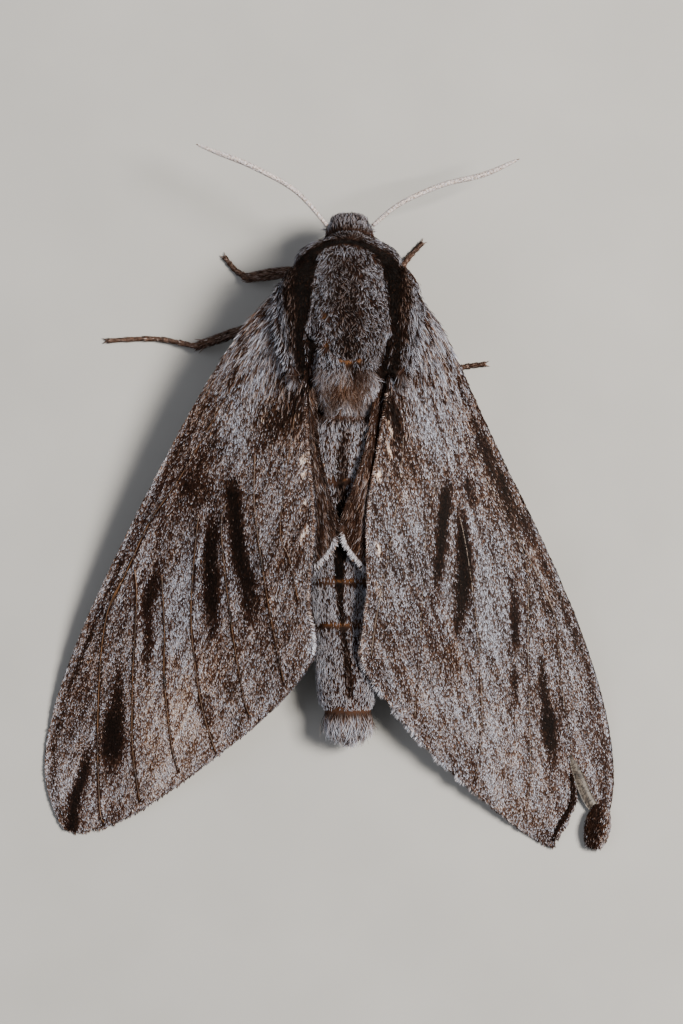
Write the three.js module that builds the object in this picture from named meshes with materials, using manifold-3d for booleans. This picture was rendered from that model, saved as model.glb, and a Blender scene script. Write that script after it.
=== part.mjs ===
// Hawk moth at rest, wings laid back over the body as a low tent. Millimetres, +Z up, head towards +Y.
// Body, eyes, feelers, four wings and six legs are separate closed solids with a thin gap between them.
// They give the outer shape of the coat of scales, and stand on small flats at z = 0.
import * as THREE from "three";
import { mergeVertices } from "three/addons/utils/BufferGeometryUtils.js";
import Module from "manifold-3d";

const wasm = await Module();
wasm.setup();

// ---- Driving dimensions ----
const GAP = 0.3; // clearance between neighbouring pieces
const WING_THICKNESS = 0.5;
const FLOOR = 0; // height of what the moth stands on
const LEFT = -1;
const RIGHT = 1;

const LOOKS = {
  fur: { color: 0x6b5f57, roughness: 0.9, metalness: 0 },
  darkFur: { color: 0x2c211c, roughness: 0.9, metalness: 0 },
  forewing: { color: 0x77695f, roughness: 0.85, metalness: 0 },
  hindwing: { color: 0x5a453a, roughness: 0.85, metalness: 0 },
  feeler: { color: 0xcfc2bb, roughness: 0.8, metalness: 0 },
  eye: { color: 0x1a120e, roughness: 0.15, metalness: 0 },
  leg: { color: 0x4a342a, roughness: 0.6, metalness: 0 },
  tongue: { color: 0x5c3a22, roughness: 0.4, metalness: 0 },
};

// Each row is [y, centre x, half width, top z, bottom z], from front to back; the ends close to a point.
const THORAX = [
  [22.4, 0.35, 0.0, 9.0, 9.0],
  [21.9, 0.35, 2.4, 10.8, 6.6],
  [20.4, 0.35, 4.0, 11.7, 3.9],
  [17.0, 0.35, 5.0, 12.3, 2.3],
  [13.5, 0.2, 4.9, 11.8, 2.0],
  [10.6, 0.1, 4.2, 10.3, 2.4],
  [8.8, 0.1, 2.9, 9.2, 3.6],
  [8.2, 0.1, 0.0, 6.6, 6.6],
];
const ABDOMEN = [
  [10.4, 0.1, 0.0, 5.8, 5.8],
  [9.6, 0.1, 3.2, 8.2, 3.0],
  [6.5, 0.05, 4.15, 8.9, 1.8],
  [0.0, -0.1, 3.8, 7.9, 1.3],
  [-6.0, -0.2, 3.0, 6.3, 1.0],
  [-11.5, -0.1, 2.5, 5.2, 0.9],
  [-16.4, 0.15, 2.3, 4.6, 0.8],
  [-19.2, 0.35, 1.8, 3.7, 1.0],
  [-20.4, 0.4, 0.0, 2.3, 2.3],
];
const BODY_SQUARENESS = 2.15; // 2 is an ellipse, more is squarer
const BODY_MIN_HALF_WIDTH = 0.15;

const HEAD = { centre: [0.35, 22.9, 6.5], size: [4.9, 6.6, 6.2], power: 2.2 };
const COLLAR = { centre: [0.4, 21.3, 8.3], size: [10.2, 5.6, 5.4], power: 2.2 };
const EYE_RADIUS = 1.45;
const EYE_OFFSET = [1.65, -0.15, -0.8]; // from the head's centre, out to each side
const PALP = { offset: [0.95, 2.4, -2.1], size: [1.2, 1.9, 3.2], power: 2.2 };
const TONGUE = { centre: [0.35, 24.9, 3.5], turns: 1.3, outer: 1.0, inner: 0.25, radius: 0.22 };
const TEGULA = { centre: [4.35, 16.2, 9.3], size: [4.4, 11.0, 3.0], power: 2.2, tilt: 38, taper: 0.35 };

// Wing plans in the wing's own plane: a runs from root to tip, b from the front edge to the hind edge.
// The left forewing's front edge is drawn further out at the root than the right one's, as it is held.
const FOREWING = {
  length: 52.0,
  front: {
    [LEFT]: [[0, -0.9], [2.9, -2.2], [8.8, -3.7], [16.2, -4.7], [25, -5.4], [33, -5.8],
      [40, -5.7], [45.3, -5.0], [48.8, -3.7], [51.2, -1.8], [52.2, -0.5]],
    [RIGHT]: [[0, -0.7], [2.9, -1.2], [8.8, -1.9], [16.2, -2.9], [25, -4.3], [33, -5.2],
      [40, -5.3], [45.3, -4.6], [48.8, -3.3], [51.2, -1.4], [52, -0.3]],
  },
  back: [[0, 0.9], [5.9, 3.3], [12.2, 6.3], [18.4, 9.5], [24.4, 11.6], [28.1, 13.7], [30, 13.8],
    [33.9, 12.8], [39.2, 10.3], [45.8, 6.5], [49.5, 3.8], [51.6, 1.3], [52, 0.3]],
};
const HINDWING = {
  length: 27.8,
  front: [[0, -0.5], [8, -2.6], [17, -3.0], [24, -2.0], [27.8, -0.3]],
  back: [[0, 0.8], [5.7, 3.7], [9.2, 6.3], [13.0, 9.3], [16.6, 8.8], [21, 6.4], [24.9, 3.5], [27.8, 0.3]],
};
// Where each wing's root is, how far it is swung out from straight back, and its size beside the plan's.
const FORE_PLACES = {
  [LEFT]: { root: [-3.92, 19.73], yaw: 23.2, scale: 1.0 },
  [RIGHT]: { root: [5.38, 20.68], yaw: 17.45, scale: 1.024 },
};
const HIND_PLACES = {
  [LEFT]: { root: [-3.3, 13.8], yaw: 25.8, scale: 1.0 },
  [RIGHT]: { root: [3.5, 13.9], yaw: 21.3, scale: 1.0 },
};
// Height of the forewing's underside along two lines beside its long axis, and the arch between them.
const FRONT_LINE = { b: -5.5, root: 6.2, meetsFloor: 44, power: 1.6 };
const BACK_LINE = {
  b: 14,
  heights: [[0, 12], [6, 11.6], [12, 10.4], [18, 8.9], [24, 7.0], [29, 5.0],
    [36, 2.9], [42, 1.8], [47, 1.0], [52, 0.3]],
};
// The hind edge rides up on the abdomen's side.
const HIND_EDGE_LIFT = { [LEFT]: 0.2, [RIGHT]: 0.8, at: 27, reach: 6 };
const ARCH = 0.9;
const SOFTNESS = 0.3; // how gently the wing's slope runs out on the floor
const TIP_SINK = 0.1; // lets the tip lie flat on the floor
// The notch torn in the right forewing beside its tip, as x, y.
const TEAR = [[19.84, -21.47], [20.5, -23.4], [20.55, -25.5], [19.6, -27.8], [18.6, -29.1], [18.6, -32],
  [23.4, -32], [23.1, -29.6], [21.7, -29.4], [21.25, -28.5], [22.6, -26.4], [21.4, -24.5]];

const TEAR_DEPTH = 8; // more than the wing's height there, above and below

// Feelers: points from root to tip, and the radius along them.
const FEELERS = {
  [LEFT]: [[-1.55, 24.8, 8.4], [-4.3, 27.75, 9], [-8.1, 29.9, 8.9], [-11.1, 31.15, 8.2], [-12.9, 31.9, 7.7]],
  [RIGHT]: [[2.4, 24.8, 8.2], [4.75, 26.7, 8.0], [8.4, 28.4, 7.2], [12.1, 29.4, 6.4], [15.2, 30.8, 5.9]],
};
const FEELER_RADII = [[0, 0.25], [0.5, 0.3], [0.85, 0.32], [0.95, 0.27], [1, 0.25]];

// Legs: the joints between hip, knee, ankle and toe, how thick the shin's fur is, and how far the foot curls
// sideways. Feet lie flat on the floor. Spurs are pairs of spikes, each at a share of the shin's length.
const LEGS = {
  front_left: {
    joints: [[-1.6, 19.6, 3.3], [-4.0, 21.2, 4.3], [-8.5, 20.75, 0.9], [-10.6, 22.5, 0.16]],
    fur: 1.35,
    curl: 0.25,
    spurs: [],
  },
  front_right: {
    joints: [[2.2, 19.6, 3.3], [4.0, 20.3, 4.1], [5.0, 21.6, 0.9], [6.75, 23.75, 0.16]],
    fur: 1.0,
    curl: 0.1,
    spurs: [],
  },
  middle_left: {
    joints: [[-2.6, 16.2, 2.2], [-7.0, 16.6, 4.0], [-13.2, 14.65, 0.9], [-21.0, 15.2, 0.16]],
    fur: 1.0,
    curl: -0.45,
    spurs: [0.8],
  },
  middle_right: {
    joints: [[3.1, 16.0, 2.2], [6.2, 15.0, 3.6], [9.2, 12.3, 0.9], [12.3, 13.1, 0.16]],
    fur: 1.0,
    curl: 0.2,
    spurs: [0.8],
  },
  hind_left: {
    joints: [[-2.4, 12.0, 2.2], [-5.6, 8.6, 3.3], [-8.2, 0.4, 0.9], [-11.6, -6.4, 0.16]],
    fur: 1.0,
    curl: 0.5,
    spurs: [0.55, 0.85],
  },
  hind_right: {
    joints: [[2.6, 12.0, 2.2], [5.8, 8.6, 3.3], [8.2, 0.4, 0.9], [11.2, -6.6, 0.16]],
    fur: 1.0,
    curl: -0.5,
    spurs: [0.55, 0.85],
  },
};
const THIGH_RADIUS = 0.62;
const SHIN_RADIUS = 0.48;
const FOOT_RADIUS = { ankle: 0.345, toe: 0.285 };
const LEG_BOW = 0.1;
const JOINT_GAP = 0.33; // from a joint to the piece on each side of it
const CLAWS = { length: 0.75, spread: 28, radius: 0.2, drop: 0.05 };
const SPURS = { length: 1.5, spread: 30, radius: 0.25, drop: 0.45 };
const SPIKE_TIP = 0.08;
const TONGUE_SOCKET = { size: [0.5, 2.6, 2.6], power: 2 };

// How finely each kind of shape is cut: rings along it and sides round it.
const FINE = [9, 18];
const MEDIUM = [8, 16];
const SMALL = [6, 12];
const COARSE = [5, 10];
const BODY_MESH = [12, 18];
const ABDOMEN_MESH = [16, 16];
const FOREWING_MESH = [21, 6];
const HINDWING_MESH = [12, 6];
const FEELER_MESH = [14, 7];
const COIL_MESH = [16, 6];
const LEG_MESH = [4, 8];
const SPIKE_MESH = [1, 4];

// ---- Small maths helpers ----
const radians = THREE.MathUtils.degToRad;
const lerp = THREE.MathUtils.lerp;
const UP = new THREE.Vector3(0, 0, 1);

// Smooth curve through rows of [key, value, ...], read at a key; keys may rise or fall.
function along(rows, key, column = 1) {
  const rising = rows[1][0] > rows[0][0] ? 1 : -1;
  let i = 0;
  while (i < rows.length - 2 && (key - rows[i + 1][0]) * rising > 0) i += 1;
  const [k0, k1] = [rows[i][0], rows[i + 1][0]];
  const t = THREE.MathUtils.clamp((key - k0) / (k1 - k0), 0, 1);
  const slope = (j) => {
    const before = rows[Math.max(j - 1, 0)];
    const after = rows[Math.min(j + 1, rows.length - 1)];
    return (after[column] - before[column]) / (after[0] - before[0]);
  };
  const span = k1 - k0;
  const [v0, v1] = [rows[i][column], rows[i + 1][column]];
  const t2 = t * t;
  const t3 = t2 * t;
  return (2 * t3 - 3 * t2 + 1) * v0 + (t3 - 2 * t2 + t) * span * slope(i)
    + (3 * t2 - 2 * t3) * v1 + (t3 - t2) * span * slope(i + 1);
}

// The larger of two heights, with a rounded change from one to the other.
function smoothMax(p, q) {
  return 0.5 * (p + q + Math.hypot(p - q, SOFTNESS));
}

// A point on a superellipse of half sizes 1 at the given angle.
function superellipse(angle, power) {
  const round = (v) => Math.sign(v) * Math.abs(v) ** (2 / power);
  return [round(Math.cos(angle)), round(Math.sin(angle))];
}

// ---- Meshes and solids ----
function geometryFrom(vertices, triangles) {
  const geometry = new THREE.BufferGeometry();
  geometry.setAttribute("position", new THREE.Float32BufferAttribute(vertices.flat(), 3));
  geometry.setIndex(triangles.flat());
  return geometry;
}

function solidFrom(geometry) {
  const bare = geometry.clone();
  bare.deleteAttribute("normal");
  bare.deleteAttribute("uv");
  const merged = mergeVertices(bare, 1e-4);
  const made = new wasm.Manifold(new wasm.Mesh({
    numProp: 3,
    vertProperties: new Float32Array(merged.attributes.position.array),
    triVerts: new Uint32Array(merged.index.array),
  }));
  if (made.volume() < 0) throw new Error("a shape is inside out");
  return made;
}

// The largest body of a solid, as geometry.
function geometryOf(solid) {
  const bodies = solid.decompose();
  const largest = bodies.reduce((best, body) => (body.volume() > best.volume() ? body : best));
  const mesh = largest.getMesh();
  const geometry = new THREE.BufferGeometry();
  geometry.setAttribute("position", new THREE.BufferAttribute(new Float32Array(mesh.vertProperties), 3));
  geometry.setIndex(new THREE.BufferAttribute(new Uint32Array(mesh.triVerts), 1));
  return geometry;
}

// A closed skin over rings of points, each end closed to one pole.
function skinOver(rings, firstPole, lastPole) {
  const count = rings[0].length;
  const vertices = [firstPole, ...rings.flat(), lastPole];
  const at = (ring, j) => 1 + ring * count + (j % count);
  const last = vertices.length - 1;
  const triangles = [];
  for (let j = 0; j < count; j += 1) {
    triangles.push([0, at(0, j), at(0, j + 1)]);
    for (let ring = 0; ring < rings.length - 1; ring += 1) {
      triangles.push([at(ring, j), at(ring + 1, j), at(ring + 1, j + 1)]);
      triangles.push([at(ring, j), at(ring + 1, j + 1), at(ring, j + 1)]);
    }
    triangles.push([at(rings.length - 1, j), last, at(rings.length - 1, j + 1)]);
  }
  return facingOut(vertices, triangles);
}

// The geometry with its triangles turned so that its volume is positive.
function facingOut(vertices, triangles) {
  let volume = 0;
  for (const [i, j, k] of triangles) {
    const [p, q, r] = [vertices[i], vertices[j], vertices[k]].map((v) => new THREE.Vector3(...v));
    volume += p.dot(q.cross(r));
  }
  const turned = volume < 0 ? triangles.map(([i, j, k]) => [i, k, j]) : triangles;
  return geometryFrom(vertices, turned);
}

// ---- Body ----
// A body part lofted through its rows, with rings closer together at its ends. Grow widens it all round.
function loft(rows, grow, [ringCount, sides]) {
  const [firstRow, lastRow] = [rows[0], rows[rows.length - 1]];
  const [front, back] = [firstRow[0] + grow, lastRow[0] - grow];
  const rings = [];
  for (let i = 1; i <= ringCount; i += 1) {
    const share = (1 - Math.cos((Math.PI * i) / (ringCount + 1))) / 2;
    const key = lerp(firstRow[0], lastRow[0], share);
    const centre = along(rows, key, 1);
    const halfWidth = Math.max(along(rows, key, 2), BODY_MIN_HALF_WIDTH) + grow;
    const top = along(rows, key, 3) + grow;
    const bottom = along(rows, key, 4) - grow;
    const ring = [];
    for (let j = 0; j < sides; j += 1) {
      const [across, up] = superellipse((2 * Math.PI * j) / sides, BODY_SQUARENESS);
      const z = (top + bottom) / 2 + ((top - bottom) / 2) * up;
      ring.push([centre + halfWidth * across, lerp(front, back, share), z]);
    }
    rings.push(ring);
  }
  return solidFrom(skinOver(rings, [firstRow[1], front, firstRow[3]], [lastRow[1], back, lastRow[3]]));
}

// A rounded lump along y. Grow widens it all round, tilt leans it about y, and taper thins its hind end.
function lump({ centre, size, power, tilt = 0, taper = 0 }, grow, [ringCount, sides]) {
  const [w, l, h] = size.map((s) => s / 2 + grow);
  const rings = [];
  for (let i = 1; i <= ringCount; i += 1) {
    const angle = -Math.PI / 2 + (Math.PI * i) / (ringCount + 1);
    const [round, reach] = superellipse(angle, power);
    const girth = round * (1 + taper * reach);
    const ring = [];
    for (let j = 0; j < sides; j += 1) {
      const around = (2 * Math.PI * j) / sides;
      ring.push([w * girth * Math.cos(around), l * reach, h * girth * Math.sin(around)]);
    }
    rings.push(ring);
  }
  const geometry = skinOver(rings, [0, -l, 0], [0, l, 0]);
  geometry.rotateY(radians(tilt));
  geometry.translate(...centre);
  return solidFrom(geometry);
}

function ball(centre, radius) {
  const geometry = new THREE.IcosahedronGeometry(radius, 2);
  geometry.translate(...centre);
  return solidFrom(geometry);
}

// Height of the abdomen's upper side at x, y.
function abdomenTop(x, y) {
  const halfWidth = along(ABDOMEN, y, 2);
  const [top, bottom] = [along(ABDOMEN, y, 3), along(ABDOMEN, y, 4)];
  const aside = Math.min(Math.abs(x - along(ABDOMEN, y, 1)) / halfWidth, 1);
  return (top + bottom) / 2 + ((top - bottom) / 2) * Math.sqrt(1 - aside * aside);
}

// ---- Wings ----
function toWorld(side, place, a, b) {
  const yaw = radians(place.yaw);
  const out = side * Math.sin(yaw);
  const back = -Math.cos(yaw);
  const size = place.scale;
  return [
    place.root[0] + size * (a * out - side * b * Math.cos(yaw)),
    place.root[1] + size * (a * back - b * Math.sin(yaw)),
  ];
}

function toWing(side, place, x, y) {
  const yaw = radians(place.yaw);
  const [dx, dy] = [(x - place.root[0]) / place.scale, (y - place.root[1]) / place.scale];
  return [
    dx * side * Math.sin(yaw) - dy * Math.cos(yaw),
    -dx * side * Math.cos(yaw) - dy * Math.sin(yaw),
  ];
}

// Height of the forewing's underside at a, b of its plan; it also holds beyond the wing's outline.
function forewingHeight(side, a, b) {
  const share = (b - FRONT_LINE.b) / (BACK_LINE.b - FRONT_LINE.b);
  const front = FRONT_LINE.root * (1 - Math.max(a / FRONT_LINE.meetsFloor, 0) ** FRONT_LINE.power);
  const lift = HIND_EDGE_LIFT[side] * Math.exp(-(((a - HIND_EDGE_LIFT.at) / HIND_EDGE_LIFT.reach) ** 2));
  const back = along(BACK_LINE.heights, a) + lift;
  const arch = ARCH * 4 * share * (1 - share) * Math.max(1 - a / FOREWING.length, 0) ** 0.5;
  return smoothMax(lerp(front, back, share) + arch, FLOOR) - TIP_SINK;
}

function forewingUnderside(side, x, y) {
  const [a, b] = toWing(side, FORE_PLACES[side], x, y);
  return Math.max(forewingHeight(side, a, b), FLOOR);
}

// The hindwing's underside keeps below the forewing and rides over the abdomen beside its midline.
function hindwingUnderside(side, x, y) {
  const underForewing = forewingUnderside(side, x, y) - WING_THICKNESS - GAP;
  return smoothMax(underForewing, abdomenTop(x, y) + GAP);
}

// A closed sheet over a wing plan; grow thickens it above and below and widens its outline.
function wingSolid(side, outline, place, underside, grow, [spanSteps, chordSteps]) {
  const curve = (points) => new THREE.SplineCurve(points.map((p) => new THREE.Vector2(...p)));
  const [front, back] = outline.map(curve);
  const top = [];
  const bottom = [];
  for (let i = 0; i <= spanSteps; i += 1) {
    const [p, q] = [front.getPointAt(i / spanSteps), back.getPointAt(i / spanSteps)];
    const chord = q.clone().sub(p).normalize().multiplyScalar(grow);
    for (let j = 0; j <= chordSteps; j += 1) {
      const point = p.clone().sub(chord).lerp(q.clone().add(chord), j / chordSteps);
      const [x, y] = toWorld(side, place, point.x, point.y);
      const z = underside(side, x, y);
      bottom.push([x, y, z - grow]);
      top.push([x, y, z + WING_THICKNESS + grow]);
    }
  }
  const row = chordSteps + 1;
  const count = top.length;
  const triangles = [];
  const quad = (i, j, k, l) => triangles.push([i, j, k], [i, k, l]);
  for (let i = 0; i < spanSteps; i += 1) {
    for (let j = 0; j < chordSteps; j += 1) {
      const c = i * row + j;
      quad(c, c + 1, c + row + 1, c + row);
      quad(count + c, count + c + row, count + c + row + 1, count + c + 1);
    }
    const [first, last] = [i * row, i * row + chordSteps];
    quad(first, first + row, count + first + row, count + first);
    quad(last + row, last, count + last, count + last + row);
  }
  for (let j = 0; j < chordSteps; j += 1) {
    const end = spanSteps * row + j;
    quad(j + 1, j, count + j, count + j + 1);
    quad(end, end + 1, count + end + 1, count + end);
  }
  return solidFrom(facingOut([...top, ...bottom], triangles));
}

function forewing(side, grow) {
  const outline = [FOREWING.front[side], FOREWING.back];
  return wingSolid(side, outline, FORE_PLACES[side], forewingUnderside, grow, FOREWING_MESH);
}

function hindwing(side, grow) {
  const outline = [HINDWING.front, HINDWING.back];
  return wingSolid(side, outline, HIND_PLACES[side], hindwingUnderside, grow, HINDWING_MESH);
}

function tearCutter() {
  const shape = new THREE.Shape(TEAR.map((p) => new THREE.Vector2(...p)));
  const geometry = new THREE.ExtrudeGeometry(shape, { depth: TEAR_DEPTH, bevelEnabled: false });
  geometry.translate(0, 0, -TEAR_DEPTH / 2);
  return solidFrom(geometry);
}

// ---- Legs and feelers ----
// A tube along points, with a radius for each share of its length. What would pass the floor lies flat on it.
function tube(points, radiusAt, [steps, sides]) {
  const path = new THREE.CatmullRomCurve3(points, false, "centripetal");
  const frames = path.computeFrenetFrames(steps, false);
  const aboveFloor = (v) => [v.x, v.y, Math.max(v.z, FLOOR)];
  const rings = [];
  for (let i = 0; i <= steps; i += 1) {
    const centre = path.getPointAt(i / steps);
    const radius = radiusAt(i / steps);
    const ring = [];
    for (let j = 0; j < sides; j += 1) {
      const angle = (2 * Math.PI * j) / sides;
      const point = centre.clone();
      point.addScaledVector(frames.normals[i], radius * Math.cos(angle));
      point.addScaledVector(frames.binormals[i], radius * Math.sin(angle));
      ring.push(aboveFloor(point));
    }
    rings.push(ring);
  }
  return solidFrom(skinOver(rings, aboveFloor(path.getPointAt(0)), aboveFloor(path.getPointAt(1))));
}

// A leg piece is thickest a little before its middle.
const knob = (share) => 1 - 0.25 * Math.abs(2 * share - 0.9);

// A bowed piece between two joints that stops short of both.
function legPiece(from, to, radiusAt, startGap = JOINT_GAP) {
  const way = to.clone().sub(from).normalize();
  const start = from.clone().addScaledVector(way, startGap);
  const end = to.clone().addScaledVector(way, -JOINT_GAP);
  const middle = start.clone().lerp(end, 0.5).addScaledVector(UP, LEG_BOW);
  return tube([start, middle, end], radiusAt, LEG_MESH);
}

// A pair of tapering spikes that leave a point along the leg, spread to both sides and sloping down.
function spikePair(root, way, { length, spread, radius, drop }) {
  const ahead = new THREE.Vector3(way.x, way.y, 0).setLength(length);
  return [-spread, spread].map((turn) => {
    const tip = ahead.clone().applyAxisAngle(UP, radians(turn)).add(root).addScaledVector(UP, -drop);
    return tube([root, tip], (share) => lerp(radius, SPIKE_TIP, share), SPIKE_MESH);
  });
}

function join(solid, others) {
  return others.reduce((joined, other) => joined.add(other), solid);
}

function thigh(hip, knee) {
  return legPiece(hip, knee, (share) => THIGH_RADIUS * knob(share), 0);
}

function shin(knee, ankle, fur, spurs) {
  const bare = legPiece(knee, ankle, (share) => SHIN_RADIUS * lerp(fur, 1, share) * knob(share));
  const way = ankle.clone().sub(knee);
  return join(bare, spurs.flatMap((share) => spikePair(knee.clone().lerp(ankle, share), way, SPURS)));
}

function foot(ankle, toe, curl) {
  const way = toe.clone().sub(ankle);
  const aside = new THREE.Vector3(-way.y, way.x, 0).normalize();
  const start = ankle.clone().addScaledVector(way.clone().normalize(), JOINT_GAP);
  const middle = start.clone().lerp(toe, 0.45).addScaledVector(aside, curl);
  middle.z = toe.z;
  const bare = tube([start, middle, toe], (s) => lerp(FOOT_RADIUS.ankle, FOOT_RADIUS.toe, s), LEG_MESH);
  return join(bare, spikePair(toe, toe.clone().sub(middle), CLAWS));
}

function legSolids({ joints, fur, curl, spurs }) {
  const [hip, knee, ankle, toe] = joints.map((joint) => new THREE.Vector3(...joint));
  return {
    femur: thigh(hip, knee).subtract(thoraxGrown),
    tibia: shin(knee, ankle, fur, spurs),
    tarsus: foot(ankle, toe, curl),
  };
}

function feeler(side) {
  const points = FEELERS[side].map((point) => new THREE.Vector3(...point));
  return tube(points, (share) => along(FEELER_RADII, share), FEELER_MESH);
}

// The tongue is rolled up like a watch spring, in a plane along the body.
function tongueCoil() {
  const { centre, turns, outer, inner, radius } = TONGUE;
  const [steps] = COIL_MESH;
  const points = [];
  for (let i = 0; i <= steps; i += 1) {
    const angle = (2 * Math.PI * turns * i) / steps;
    const reach = lerp(outer, inner, i / steps);
    const offset = new THREE.Vector3(0, -reach * Math.cos(angle), reach * Math.sin(angle));
    points.push(offset.add(new THREE.Vector3(...centre)));
  }
  return tube(points, () => radius, COIL_MESH);
}

// ---- Assembly ----
const moth = new THREE.Group();

function addNode(name, solid, look) {
  const mesh = new THREE.Mesh(geometryOf(solid), new THREE.MeshStandardMaterial(look));
  mesh.name = name;
  moth.add(mesh);
}

function without(solid, cutters) {
  return cutters.reduce((rest, cutter) => rest.subtract(cutter), solid);
}

function besideHead([x, y, z], side) {
  return [HEAD.centre[0] + side * x, HEAD.centre[1] + y, HEAD.centre[2] + z];
}

const SIDES = [LEFT, RIGHT];
const SIDE_NAMES = { [LEFT]: "left", [RIGHT]: "right" };
const eyeCentre = (side) => besideHead(EYE_OFFSET, side);
const palpShape = (side) => ({ ...PALP, centre: besideHead(PALP.offset, side) });
const tegulaShape = (side) => ({
  ...TEGULA,
  centre: [THORAX[0][1] + side * TEGULA.centre[0], TEGULA.centre[1], TEGULA.centre[2]],
  tilt: side * TEGULA.tilt,
});
const tongueShape = { ...TONGUE_SOCKET, centre: TONGUE.centre };

// Each cutter is its piece grown by the gap.
const thoraxGrown = loft(THORAX, GAP, BODY_MESH);
const abdomenGrown = loft(ABDOMEN, GAP, ABDOMEN_MESH);
const headGrown = lump(HEAD, GAP, MEDIUM);
const collarGrown = lump(COLLAR, GAP, FINE);
const tongueGrown = lump(tongueShape, GAP / 2, COARSE);
const eyesGrown = SIDES.map((side) => ball(eyeCentre(side), EYE_RADIUS + GAP));
const palpsGrown = SIDES.map((side) => lump(palpShape(side), GAP, COARSE));

function addBody() {
  const collarCutters = [thoraxGrown, headGrown, ...eyesGrown];
  const headCutters = [thoraxGrown, tongueGrown, ...eyesGrown, ...palpsGrown];
  addNode("thorax", loft(THORAX, 0, BODY_MESH), LOOKS.fur);
  addNode("abdomen", loft(ABDOMEN, 0, ABDOMEN_MESH).subtract(thoraxGrown), LOOKS.fur);
  addNode("collar", without(lump(COLLAR, 0, FINE), collarCutters), LOOKS.darkFur);
  addNode("head", without(lump(HEAD, 0, MEDIUM), headCutters), LOOKS.fur);
  addNode("proboscis", tongueCoil(), LOOKS.tongue);
}

function addHeadPieces(side, name) {
  addNode("eye_" + name, ball(eyeCentre(side), EYE_RADIUS).subtract(thoraxGrown), LOOKS.eye);
  addNode("palp_" + name, lump(palpShape(side), 0, SMALL).subtract(tongueGrown), LOOKS.fur);
  addNode("antenna_" + name, feeler(side).subtract(headGrown), LOOKS.feeler);
}

function addWingPieces(side, name) {
  const foreGrown = forewing(side, GAP);
  const hindGrown = hindwing(side, GAP);
  const tears = side === RIGHT ? [tearCutter()] : [];
  const foreCutters = [thoraxGrown, collarGrown, abdomenGrown, ...tears];
  const hindCutters = [thoraxGrown, foreGrown, abdomenGrown];
  const tegula = lump(tegulaShape(side), 0, SMALL);
  addNode("forewing_" + name, without(forewing(side, 0), foreCutters), LOOKS.forewing);
  addNode("hindwing_" + name, without(hindwing(side, 0), hindCutters), LOOKS.hindwing);
  addNode("tegula_" + name, without(tegula, [thoraxGrown, collarGrown, foreGrown, hindGrown]), LOOKS.darkFur);
}

function addLegs() {
  for (const [leg, shape] of Object.entries(LEGS)) {
    for (const [piece, solid] of Object.entries(legSolids(shape))) {
      addNode("leg_" + leg + "_" + piece, solid, LOOKS.leg);
    }
  }
}

addBody();
for (const side of SIDES) {
  addHeadPieces(side, SIDE_NAMES[side]);
  addWingPieces(side, SIDE_NAMES[side]);
}
addLegs();

// The origin is on the floor, under the middle of the whole moth.
const middle = new THREE.Box3().setFromObject(moth).getCenter(new THREE.Vector3());
moth.position.set(-middle.x, -middle.y, 0);

export default moth;
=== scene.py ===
import math
import bmesh
import bpy
import numpy as np
from mathutils.bvhtree import BVHTree
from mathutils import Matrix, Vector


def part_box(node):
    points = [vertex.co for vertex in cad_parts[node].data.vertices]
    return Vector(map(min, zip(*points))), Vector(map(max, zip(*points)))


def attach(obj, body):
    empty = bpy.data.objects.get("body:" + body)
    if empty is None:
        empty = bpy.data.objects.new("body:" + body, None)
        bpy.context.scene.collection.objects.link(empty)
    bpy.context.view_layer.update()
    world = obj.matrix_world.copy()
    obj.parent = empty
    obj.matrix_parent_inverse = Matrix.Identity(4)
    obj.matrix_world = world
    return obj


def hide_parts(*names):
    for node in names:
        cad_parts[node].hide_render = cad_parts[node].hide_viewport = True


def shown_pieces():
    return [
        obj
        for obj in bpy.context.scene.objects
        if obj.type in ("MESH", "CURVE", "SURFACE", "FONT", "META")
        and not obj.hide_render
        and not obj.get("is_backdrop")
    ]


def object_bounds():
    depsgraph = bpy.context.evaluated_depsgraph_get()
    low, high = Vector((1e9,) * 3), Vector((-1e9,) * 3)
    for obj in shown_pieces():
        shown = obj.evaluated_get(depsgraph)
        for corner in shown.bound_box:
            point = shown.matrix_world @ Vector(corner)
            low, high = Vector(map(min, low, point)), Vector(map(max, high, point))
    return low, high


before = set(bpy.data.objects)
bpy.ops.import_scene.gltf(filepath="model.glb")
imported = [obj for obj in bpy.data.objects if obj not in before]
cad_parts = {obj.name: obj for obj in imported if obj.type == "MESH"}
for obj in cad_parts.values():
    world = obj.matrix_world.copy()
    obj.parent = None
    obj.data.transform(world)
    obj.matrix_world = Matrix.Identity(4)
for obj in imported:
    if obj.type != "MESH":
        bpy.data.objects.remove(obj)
cad_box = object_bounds()
MM = 0.001  # metres in a millimetre
LEFT, RIGHT = -1, 1
SIDES = {LEFT: "left", RIGHT: "right"}
UP = np.array([0.0, 0.0, 1.0])
print("CAD box in mm:", [[round(value / MM, 1) for value in corner] for corner in cad_box])

# %% [markdown]
# ## The plan's place in the frame
# The frame's origin lies under the middle of the moth's box. The eyes and the thorax's hind end are known on
# the plan too, so they tell how far apart the two origins are.
# %% From the plan to the frame
HEAD_X = 0.35  # the head's midline on the plan
THORAX_END_Y = 8.2  # the thorax's hind end on the plan
eyes_middle = (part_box("eye_left")[0].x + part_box("eye_right")[1].x) / 2 / MM
PLAN_ORIGIN = np.array([eyes_middle - HEAD_X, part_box("thorax")[0].y / MM - THORAX_END_Y, 0.0])


def to_frame(points):
    """Plan millimetres as frame metres."""
    return (np.asarray(points, float) + PLAN_ORIGIN) * MM


def to_plan(points):
    """Frame metres as plan millimetres."""
    return np.asarray(points, float) / MM - PLAN_ORIGIN


print("plan origin in the frame, mm:", PLAN_ORIGIN.round(3))

# %% [markdown]
# ## Colours and nodes
# Colours are sRGB hex, as on a paint chart, turned to the linear values that a shader needs. One helper adds
# any node with its settings and links, and one more closes a material with its bump and surface.
# %% Helpers for materials
CHITIN_IOR = 1.55


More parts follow.
